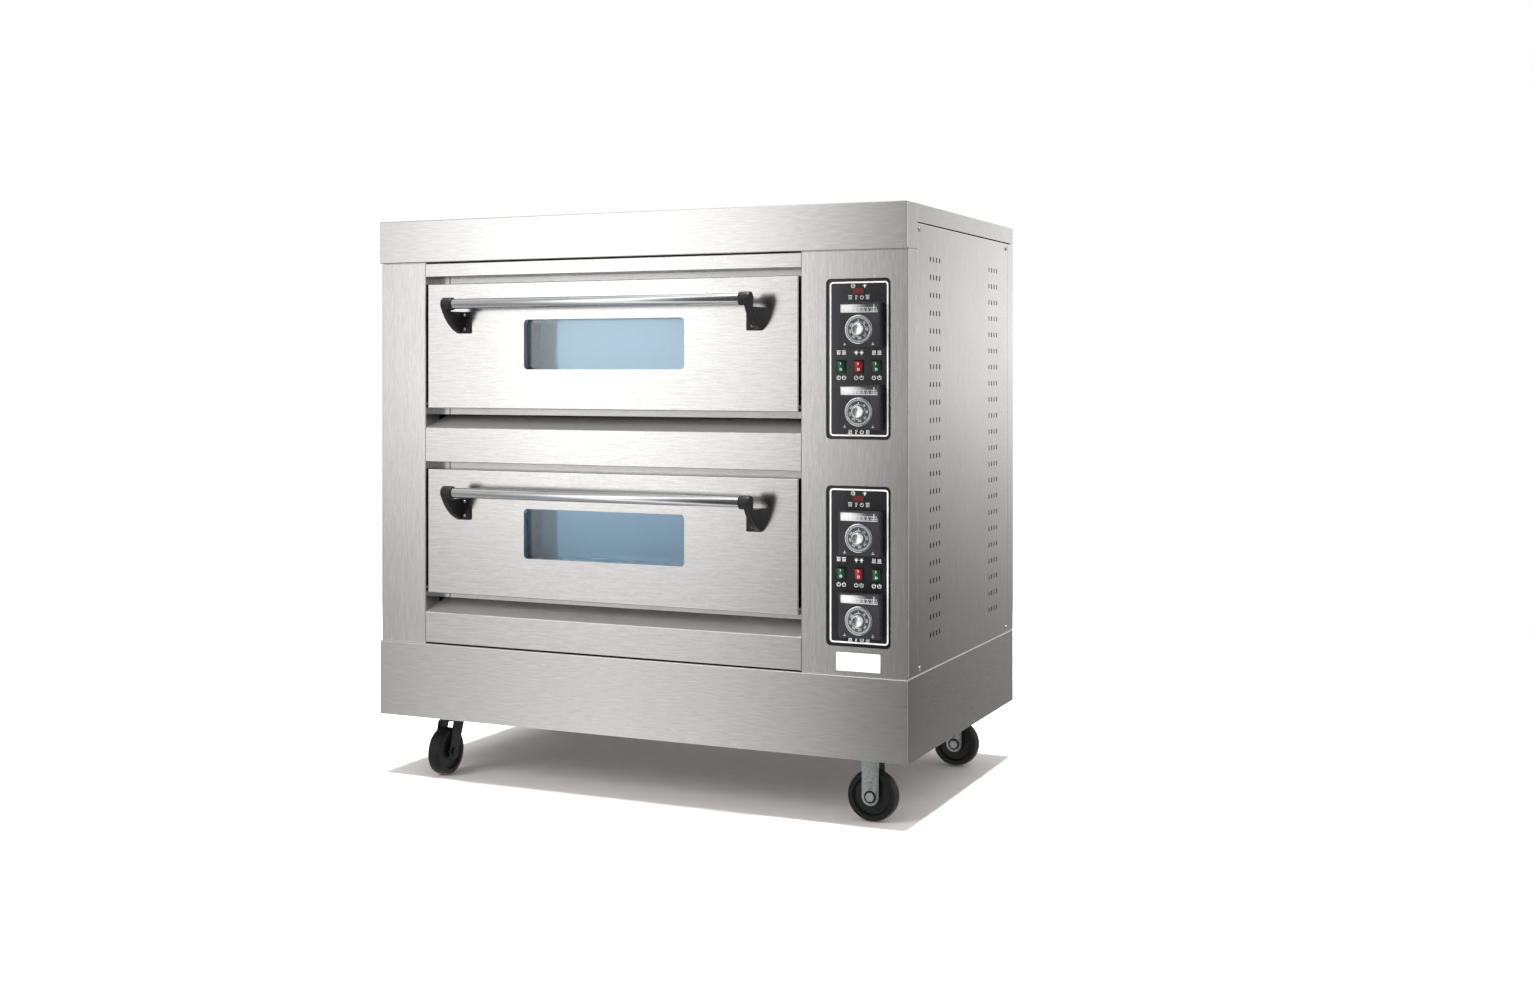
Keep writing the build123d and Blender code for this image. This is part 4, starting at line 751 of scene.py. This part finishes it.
def scale_window(which):
    """The strip behind a controller's slot, with its graduations and pointer, and index marks."""
    low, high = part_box(which + "_heat_dial")
    x, z = (low.x + high.x) / 2, (low.z + high.z) / 2
    face = housing_face()
    strip_z = z + SCALE_RISE * MM
    back = face + SCALE_DEPTH * MM
    wide, tall = SCALE_HALF_WIDTH * MM, SCALE_HALF_HEIGHT * MM
    strip = marks([bar(x - wide, strip_z - tall, x + wide, strip_z + tall)], back, 0.6 * MM)
    piece(which + "_scale_strip", strip, "oven", "black_plastic", SCALE_PLATE)
    tick_y = back - 0.66 * MM
    repeated(
        which + "_scale_fine_ticks", ROW_TREE, Vector((x, tick_y, strip_z + 1.2 * MM)), "oven",
        "black_plastic", SILVER_INK, count=41, span=SCALE_SPAN, length=2.2, width=0.4, depth=0.12,
    )
    repeated(
        which + "_scale_long_ticks", ROW_TREE, Vector((x, tick_y, strip_z + 0.4 * MM)), "oven",
        "black_plastic", SILVER_INK, count=9, span=SCALE_SPAN, length=4.0, width=0.7, depth=0.14,
    )
    line = marks([bar(x - 38 * MM, strip_z - 7.8 * MM, x + 38 * MM, strip_z - 6.2 * MM)], back - 0.6 * MM)
    piece(which + "_scale_line", line, "oven", "black_plastic", SILVER_INK)
    numbers = []
    for step in range(9):
        mesh = number_mesh(str(50 * step), 3.8)
        across = x + (step / 8 - 0.5) * SCALE_SPAN * MM
        mesh.transform(Matrix.Translation((across, tick_y, strip_z - 3.8 * MM)))
        numbers.append(mesh)
    piece(which + "_scale_numbers", joined(numbers), "oven", "black_plastic", SILVER_INK)
    needle = marks(
        [bar(x + 30 * MM, strip_z - 7.6 * MM, x + 31 * MM, strip_z + 7.6 * MM)], tick_y - 0.4 * MM, 0.5 * MM
    )
    piece(which + "_scale_needle", needle, "oven", "black_plastic", WHITE_INK)
    spots = []
    for side in (-1, 1):
        near = x + side * 29 * MM
        spots.append(bar(near - 2.4 * MM, z - 30 * MM, near + 2.4 * MM, z - 29.2 * MM))
        spots.append(bar(near - 0.4 * MM, z - 28.4 * MM, near + 0.4 * MM, z - 25.6 * MM))
    piece(which + "_index_marks", marks(spots, face), "oven", "black_plastic", SILVER_INK)


def housing_face():
    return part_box("controller_housings")[0].y


def arc(x, z, radius, start, end, steps):
    """Points along an arc, with its two ends in degrees."""
    turns = [math.radians(start + (end - start) * step / steps) for step in range(steps + 1)]
    return [(x + radius * math.cos(turn), z + radius * math.sin(turn)) for turn in turns]


def power_icon(x, z, size):
    """A broken ring with an upright stroke."""
    gap_end, gap_start = 125, 415
    outer, inner = size / 2, size / 2 * 0.72
    ring = arc(x, z, outer, gap_end, gap_start, 18) + arc(x, z, inner, gap_start, gap_end, 18)
    return [ring, bar(x - size * 0.07, z, x + size * 0.07, z + size * 0.55)]


def heat_icon(x, z, size, upwards):
    """Three bent heat strokes over or under a bar."""
    side = 1 if upwards else -1
    shapes = [bar(x - size / 2, z - side * size * 0.5, x + size / 2, z - side * size * 0.36)]
    width, lean = size * 0.07, size * 0.05
    rises = [z + side * share * size for share in (-0.24, 0.12, 0.48)]
    for offset in (-0.3, 0.0, 0.3):
        middle = x + offset * size
        spine = list(zip((middle - lean, middle + lean, middle - lean), rises))
        right = [(across + width, up) for across, up in spine]
        left = [(across - width, up) for across, up in reversed(spine)]
        shapes.append(right + left)
    return shapes


def bulb_icon(x, z, size):
    """A round lamp with rays and a cap."""
    ring = arc(x, z, size * 0.27, 0, 360, 14)[:-1]
    shapes = [ring, bar(x - size * 0.13, z - size * 0.5, x + size * 0.13, z - size * 0.34)]
    for step in range(5):
        angle = math.radians(step * 45)
        inner = Vector((math.cos(angle), math.sin(angle))) * size * 0.36
        outer = Vector((math.cos(angle), math.sin(angle))) * size * 0.52
        across = Vector((-math.sin(angle), math.cos(angle))) * size * 0.045
        points = (inner - across, outer - across, outer + across, inner + across)
        shapes.append([(x + point.x, z + point.y) for point in points])
    return shapes


def therm_icon(x, z, size):
    """A thermometer: stem, bulb and three side marks."""
    ring = arc(x, z - size * 0.32, size * 0.18, 0, 360, 10)[:-1]
    shapes = [ring, bar(x - size * 0.08, z - size * 0.2, x + size * 0.08, z + size * 0.5)]
    for rise in (0.05, 0.22, 0.39):
        shapes.append(bar(x + size * 0.18, z + size * rise, x + size * 0.4, z + size * (rise + 0.07)))
    return shapes


def panel_print(deck):
    """White line and icons on a control plate."""
    low, high = half_box("control_plates", deck)
    lap = PANEL_LAP * MM
    x, z = (low.x + high.x) / 2, (low.z + high.z) / 2
    width, height = high.x - low.x - 2 * lap, high.z - low.z - 2 * lap
    face = low.y
    work = bmesh.new()
    inset = PANEL_LINE_INSET * MM
    frame_ring(
        work, x, z, width - 2 * inset, height - 2 * inset, 7 * MM, 3.0 * MM, face - 0.15 * MM, face
    )
    bmesh.ops.recalc_face_normals(work, faces=work.faces)
    piece(deck + "_panel_line", shaded(work), "oven", "control_black", WHITE_INK)
    top_z = centre_of(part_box(deck + "_top_heat_dial")).z
    bottom_z = centre_of(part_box(deck + "_bottom_heat_dial")).z
    rocker_z = centre_of(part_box(deck + "_lamp_rocker")).z
    lamp_z = centre_of(half_box("pilot_lamps", deck)).z
    icons = power_icon(x - 12 * MM, lamp_z + 10 * MM, 8 * MM)
    icons += bulb_icon(x + 12 * MM, lamp_z + 10 * MM, 8 * MM)
    for caption_z, upwards in ((lamp_z - 12.5 * MM, False), (bottom_z - 39.6 * MM, True)):
        icons += heat_icon(x - 18 * MM, caption_z, 8.6 * MM, upwards)
        icons += therm_icon(x - 6 * MM, caption_z, 8.6 * MM)
        icons += power_icon(x + 6 * MM, caption_z, 8 * MM)
        icons += heat_icon(x + 18 * MM, caption_z, 8.6 * MM, upwards)
    for use, draw in (("top_heat", False), ("lamp", None), ("bottom_heat", True)):
        rocker_x = centre_of(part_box(f"{deck}_{use}_rocker")).x
        for side in (-1, 1):
            spot = rocker_x + side * 5.5 * MM
            if draw is None:
                icons += bulb_icon(spot, rocker_z + 27 * MM, 9 * MM)
            else:
                icons += heat_icon(spot, rocker_z + 27 * MM, 8.5 * MM, draw)
            icons += power_icon(spot, rocker_z - 22 * MM, 8.5 * MM)
    piece(deck + "_panel_icons", marks(icons, face), "oven", "control_black", WHITE_INK)


def rocker_shape(node, material, slot):
    """A rocker with rounded edges, and the generic on and off marks on its two halves."""
    softened(node, 0.8, slot, material)
    low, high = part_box(node)
    x, z = (low.x + high.x) / 2, (low.z + high.z) / 2
    upright = bar(x - 0.5 * MM, z + 3.6 * MM, x + 0.5 * MM, z + 8.0 * MM)
    stroke = marks([upright], low.y + 0.75 * MM, 0.5 * MM)
    piece(node + "_on_mark", stroke, node, slot, WHITE_INK)
    centre = Vector((x, low.y + 3.05 * MM, z - 5.6 * MM))
    ring = [(1.5, 0, 0), (2.4, 0, 0), (2.4, 0.45, 0), (1.5, 0.45, 0)]
    piece(node + "_off_mark", lathe(ring, centre, "Y", 24), node, slot, WHITE_INK)


def controls():
    for deck in DECKS:
        panel_print(deck)
        rocker_shape(deck + "_top_heat_rocker", GREEN, "rocker_green")
        rocker_shape(deck + "_lamp_rocker", RED, "rocker_red")
        rocker_shape(deck + "_bottom_heat_rocker", GREEN, "rocker_green")
    for which in DIALS:
        dial(which)
        scale_window(which)
    softened("controller_housings", 0.9, "black_plastic", HOUSING)
    softened("switch_bezels", 0.4, "black_plastic", BLACK_ABS)


def data_label():
    """A blank label with a pale rule, under the lower controls."""
    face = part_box("control_column")[0].y
    plate = half_box("control_plates", "lower")
    x, z = centre_of(plate).x, plate[0].z - LABEL_DROP * MM
    width, height, radius = LABEL_WIDTH * MM, LABEL_HEIGHT * MM, LABEL_RADIUS * MM
    margin = LABEL_MARGIN * MM
    top = face - 0.5 * MM
    work = bmesh.new()
    slab(work, rounded_outline(x, z, width, height, radius), top, face)
    bmesh.ops.recalc_face_normals(work, faces=work.faces)
    piece("data_label", shaded(work), "oven", "stainless", LABEL)
    work = bmesh.new()
    frame_ring(work, x, z, width - margin, height - margin, radius, 0.8 * MM, top - 0.1 * MM, top)
    bmesh.ops.recalc_face_normals(work, faces=work.faces)
    piece("data_label_rule", shaded(work), "oven", "stainless", LABEL_EDGE)


# ---------------------------------------------------------------- doors
def pane(deck, which, y_low, y_high, material):
    """One of a door's two panes, split from the node that holds both."""
    mesh = merged_copy(deck + "_door_panes")
    work = bmesh.new()
    work.from_mesh(mesh)
    middle = (y_low + y_high) / 2
    keep_front = which == "outer"
    gone = [v for v in work.verts if (v.co.y < middle) != keep_front]
    bmesh.ops.delete(work, geom=gone, context="VERTS")
    work.to_mesh(mesh)
    work.free()
    mesh.shade_flat()
    made = piece(f"{deck}_{which}_pane", mesh, deck + "_door", "glass", material)
    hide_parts(deck + "_door_panes")


# A pan head in section, with its recess, and the screws' heights over the bracket's foot, in mm.
SCREW_HEAD = [
    (0, 0, 0), (3.4, 0, 0), (3.4, 0.6, 0), (2.6, 1.7, 0), (1.2, 2.2, 0), (0.9, 1.2, 0), (0, 1.2, 0),
]
SCREW_RISES = (9.0, 39.0)
SCREW_INSET = 19.5
BRACKET_FOOT = 5.0


def bracket_screws(deck):
    """Pan-head screws in the feet of both handle brackets."""
    low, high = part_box(deck + "_handle_brackets")
    face = high.y - BRACKET_FOOT * MM
    middle = (low.x + high.x) / 2
    for side, label in ((-1, "left"), (1, "right")):
        x = middle + side * ((high.x - low.x) / 2 - SCREW_INSET * MM)
        for rise in SCREW_RISES:
            centre = Vector((x, face, low.z + rise * MM))
            name = f"{deck}_{label}_bracket_screw_{int(rise)}"
            piece(name, lathe(SCREW_HEAD, centre, "Y", 24), deck + "_door", "stainless", ZINC)


def doors():
    for deck in DECKS:
        low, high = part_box(deck + "_door_panes")
        pane(deck, "outer", low.y, high.y, GLASS)
        pane(deck, "inner", low.y, high.y, COATED)
        softened(deck + "_handle_brackets", 1.0, "black_plastic", BLACK_ABS)
        softened(deck + "_handle_bar", 0.3, "stainless", TUBE)
        bracket_screws(deck)


def frame_seams():
    """The joint between each chamber frame's left upright and its strips, and the upright's bead."""
    openings = {item["name"]: item["box_m"] for item in frame["record"]["physics"]["openings"]}
    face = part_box("chamber_frames")[0].y
    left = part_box("chamber_frames")[0].x
    for deck in DECKS:
        seam = openings[deck + "_chamber"][0][0] - 1 * MM
        low, high = half_box("chamber_frames", deck)
        black = marks([bar(seam - 1.1 * MM, low.z, seam + 1.1 * MM, high.z)], face)
        piece(deck + "_frame_seam", black, "oven", "stainless", BLACK_INK)
        middle = (left + seam) / 2
        bead = marks([bar(middle - 0.9 * MM, low.z, middle + 0.9 * MM, high.z)], face, 0.8 * MM)
        piece(deck + "_frame_bead", bead, "oven", "stainless", STEEL_Z)


# ---------------------------------------------------------------- castors
# In mm: a fork leg's outer face from the wheel's middle, and the hexagon nut.
LEG_FACE = 21.0
NUT_RADIUS = 9.3
NUT_FLAT = 3.6
NUT_HEIGHT = 4.3


def wheel(node, axis):
    """A solid tyre with a rounded tread on a nylon hub."""
    low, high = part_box(node)
    centre = (low + high) / 2
    profile = [
        (5.05, -17, 1),
        (13, -17, 1),
        (14, -15.5, 1),
        (14, -11, 1),
        (36, -10, 1),
        (38, -15, 0),
        (39, -16, 0),
        (45, -16, 0),
        (48.5, -14.5, 0),
        (50.4, -9, 0),
        (51, -3, 0),
        (51, 3, 0),
        (50.4, 9, 0),
        (48.5, 14.5, 0),
        (45, 16, 0),
        (39, 16, 0),
        (38, 15, 1),
        (36, 10, 1),
        (14, 11, 1),
        (14, 15.5, 1),
        (13, 17, 1),
        (5.05, 17, 1),
    ]
    made = piece(node + "_tyre", lathe(profile, centre, axis, 96), node, "tyre", TYRE, HUB)
    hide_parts(node)


def axle_nut(name, centre, axis, reach, body, slot, material):
    """A hexagon nut over the end of an axle, with a dark washer. Reach is from the wheel's middle."""
    side = 1 if reach > 0 else -1
    base = abs(reach) * side
    flat, tip = base + side * NUT_FLAT, base + side * NUT_HEIGHT
    wide, narrow = NUT_RADIUS, NUT_RADIUS - 1.1
    nut = [(0, base, 0), (wide, base, 0), (wide, flat, 0), (narrow, tip, 0), (0, tip, 0)]
    piece(name + "_nut", lathe(nut, centre, axis, 6), body, slot, material)
    thin = base + side * 0.8
    washer = [(9.0, base, 0), (12.5, base, 0), (12.5, thin, 0), (9.0, thin, 0)]
    piece(name + "_washer", lathe(washer, centre, axis, 40), body, slot, FORK_BLACK)


def castors():
    for name in ("front_left_wheel", "rear_left_wheel"):
        wheel(name, "X")
    for name in ("front_right_wheel", "rear_right_wheel"):
        wheel(name, "Y")
    softened("rigid_castor_forks", 0.5, "fork_grey", FORK_GREY)
    for name in ("front_right", "rear_right"):
        centre = centre_of(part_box(name + "_wheel"))
        for side, label in ((-1, "rear"), (1, "front")):
            axle_nut(f"{name}_{label}_axle", centre, "Y", side * LEG_FACE, "oven", "fork_grey", ZINC)
            rib = side * LEG_FACE
            ring = [(5.2, rib, 0), (7.6, rib, 0), (6.4, rib + side * 1.1, 0)]
            place = centre + Vector((0, 0, 23 * MM))
            piece(f"{name}_{label}_emboss", lathe(ring, place, "Y", 32), "oven", "fork_grey", FORK_GREY)
    for name in ("front_left", "rear_left"):
        centre = centre_of(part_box(name + "_wheel"))
        for side, label in ((-1, "left"), (1, "right")):
            swivel = name + "_swivel"
            axle_nut(f"{name}_{label}_axle", centre, "X", side * LEG_FACE, swivel, "fork_black", FORK_BLACK)
    for name in ("front_left", "rear_left"):
        softened(name + "_castor_fork", 0.5, "fork_black", FORK_BLACK)
    softened("swivel_castor_plates", 0.4, "zinc", ZINC)


controls()
data_label()
doors()
frame_seams()
castors()


# ---------------------------------------------------------------- studio
FLOOR_RADIUS = 3.2
ROOM_STRENGTH = 3.0
OVERHEAD_STRENGTH = 7.0
OVERHEAD_SPREAD = 9
ROUND_ROOM = (
    (-180, 0.55), (-164, 0.55), (-162, 0.45), (-160.5, 0.03), (-149, 0.03), (-139, 0.45),
    (-90, 0.5), (-40, 0.3),
    (0, 0.04), (16, 0.02), (18, 0.03), (19, 0.06), (20.4, 0.22), (21.5, 0.42), (23, 0.58), (25, 0.84),
    (27.5, 1.0), (30, 0.97), (32, 0.72), (34, 0.48), (36, 0.31), (40, 0.20), (60, 0.20), (90, 0.3),
    (180, 0.55),
)
UP_FRONT = (
    (-90, 0.6), (-20, 0.58), (-13, 0.50), (-9.5, 0.40), (-7.5, 0.31), (-5, 0.53), (-3, 0.80),
    (0, 1.02), (3.5, 0.88), (90, 0.88),
)
UP_BACK = (
    (-90, 0.8), (-20, 0.7), (-14, 0.3), (-11, 0.2), (-7, 0.27), (-4, 0.48), (-1, 0.85), (1.5, 1.0),
    (5, 0.8), (90, 1.0),
)


CAMERA_PLACE = (1.7123, -3.6448, 0.8863)
CAMERA_BEARING = 25.23
CAMERA_LENS = 42.18
CAMERA_SHIFT = (0.0450, -0.0831)


def camera():
    """Stands to the right of the oven, a little under its top, with a shifted lens."""
    data = bpy.data.cameras.new("camera")
    data.sensor_width = 36.0
    data.lens = CAMERA_LENS
    data.shift_x, data.shift_y = CAMERA_SHIFT
    made = bpy.data.objects.new("camera", data)
    made.location = CAMERA_PLACE
    made.rotation_euler = (math.radians(90), 0, math.radians(CAMERA_BEARING))
    bpy.context.scene.collection.objects.link(made)
    bpy.context.scene.camera = made


def softbox(name, place, target, width, height, power):
    data = bpy.data.lights.new(name, "AREA")
    data.shape = "RECTANGLE"
    data.size = width
    data.size_y = height
    data.energy = power
    made = bpy.data.objects.new(name, data)
    made.location = place
    made.rotation_euler = (Vector(target) - Vector(place)).to_track_quat("-Z", "Y").to_euler()
    bpy.context.scene.collection.objects.link(made)
    return made


def overhead():
    """A far, wide light straight above, so the shadow stays about the oven's own footprint."""
    data = bpy.data.lights.new("overhead", "SUN")
    data.energy = OVERHEAD_STRENGTH
    data.angle = math.radians(OVERHEAD_SPREAD)
    made = bpy.data.objects.new("overhead", data)
    bpy.context.scene.collection.objects.link(made)


def floor():
    """A plain pale floor whose rim fades away. Only the oven's own surroundings show in its steel."""
    work = bmesh.new()
    bmesh.ops.create_circle(work, cap_ends=True, segments=96, radius=FLOOR_RADIUS)
    mesh = bpy.data.meshes.new("floor")
    work.to_mesh(mesh)
    work.free()
    made = bpy.data.objects.new("floor", mesh)
    bpy.context.scene.collection.objects.link(made)
    made.visible_glossy = False
    material, tree = new_material("pale studio floor")
    place = add(tree, "ShaderNodeTexCoord").outputs["Object"]
    reach = add(tree, "ShaderNodeVectorMath", {0: place}, operation="LENGTH").outputs["Value"]
    rim = add(
        tree,
        "ShaderNodeMapRange",
        {"Value": reach, "From Min": FLOOR_RADIUS * 0.7, "From Max": FLOOR_RADIUS},
        interpolation_type="SMOOTHSTEP",
    ).outputs[0]
    noise = add(tree, "ShaderNodeTexNoise", {"Vector": object_pattern(tree, (300,) * 3)}).outputs["Fac"]
    tint = add(tree, "ShaderNodeValToRGB", {"Fac": noise}, tones("#efeae8", "#f3eeec")).outputs[0]
    paint = add(tree, "ShaderNodeBsdfDiffuse", {"Color": tint}).outputs[0]
    clear = add(tree, "ShaderNodeBsdfTransparent").outputs[0]
    finish_material(tree, add(tree, "ShaderNodeMixShader", {0: rim, 1: paint, 2: clear}))
    mesh.materials.append(material)


def grey_stops(points, low, high):
    """Ramp stops from pairs of place and value, with places between low and high."""
    return [((place - low) / (high - low), (value, value, value, 1)) for place, value in points]


def room():
    """A studio wall of light. It is brightest at the front left and falls off round the room and down.

    Bearings are in degrees from the front, positive to the left; heights in degrees over the horizon."""
    world = bpy.data.worlds.new("room")
    world.use_nodes = True
    tree = world.node_tree
    tree.nodes.clear()
    direction = add(tree, "ShaderNodeTexCoord").outputs["Generated"]
    along = add(tree, "ShaderNodeSeparateXYZ", {"Vector": direction}).outputs
    left = add(tree, "ShaderNodeMath", {0: along["X"], 1: -1}, operation="MULTIPLY").outputs[0]
    front = add(tree, "ShaderNodeMath", {0: along["Y"], 1: -1}, operation="MULTIPLY").outputs[0]
    bearing = add(tree, "ShaderNodeMath", {0: left, 1: front}, operation="ARCTAN2").outputs[0]
    bearing = add(
        tree, "ShaderNodeMapRange", {"Value": bearing, "From Min": -math.pi, "From Max": math.pi}
    ).outputs[0]
    height = add(tree, "ShaderNodeMath", {0: along["Z"]}, operation="ARCSINE").outputs[0]
    height = add(
        tree,
        "ShaderNodeMapRange",
        {"Value": height, "From Min": -math.pi / 2, "From Max": math.pi / 2},
    ).outputs[0]
    falls = ((bearing, ROUND_ROOM, 180), (height, UP_FRONT, 90), (height, UP_BACK, 90))
    round_room, up_front, up_back = (
        add(tree, "ShaderNodeValToRGB", {"Fac": factor}, grey_stops(points, -reach, reach)).outputs[0]
        for factor, points, reach in falls
    )
    behind = add(
        tree, "ShaderNodeMapRange", {"Value": along["Y"], "From Min": -0.1, "From Max": 0.1}
    ).outputs[0]
    upright = {"Factor": behind, 6: up_front, 7: up_back}
    upright = add(tree, "ShaderNodeMix", upright, data_type="RGBA").outputs[2]
    shade = {"Factor": 1.0, 6: round_room, 7: upright}
    shade = add(tree, "ShaderNodeMix", shade, data_type="RGBA", blend_type="MULTIPLY").outputs[2]
    seen = add(tree, "ShaderNodeLightPath").outputs["Is Camera Ray"]
    white = (1 / ROOM_STRENGTH,) * 3 + (1,)
    mixed = add(tree, "ShaderNodeMix", {"Factor": seen, 6: shade, 7: white}, data_type="RGBA").outputs[2]
    background = add(tree, "ShaderNodeBackground", {"Color": mixed, "Strength": ROOM_STRENGTH})
    add(tree, "ShaderNodeOutputWorld", {"Surface": background.outputs[0]})
    bpy.context.scene.world = world


camera()
floor()
room()
overhead()
fill = softbox("fill", (-1.6, -3.6, 2.6), (0.0, -0.3, 0.7), 2.0, 2.0, 70)
fill.visible_glossy = False
bpy.context.scene.view_settings.view_transform = "Standard"
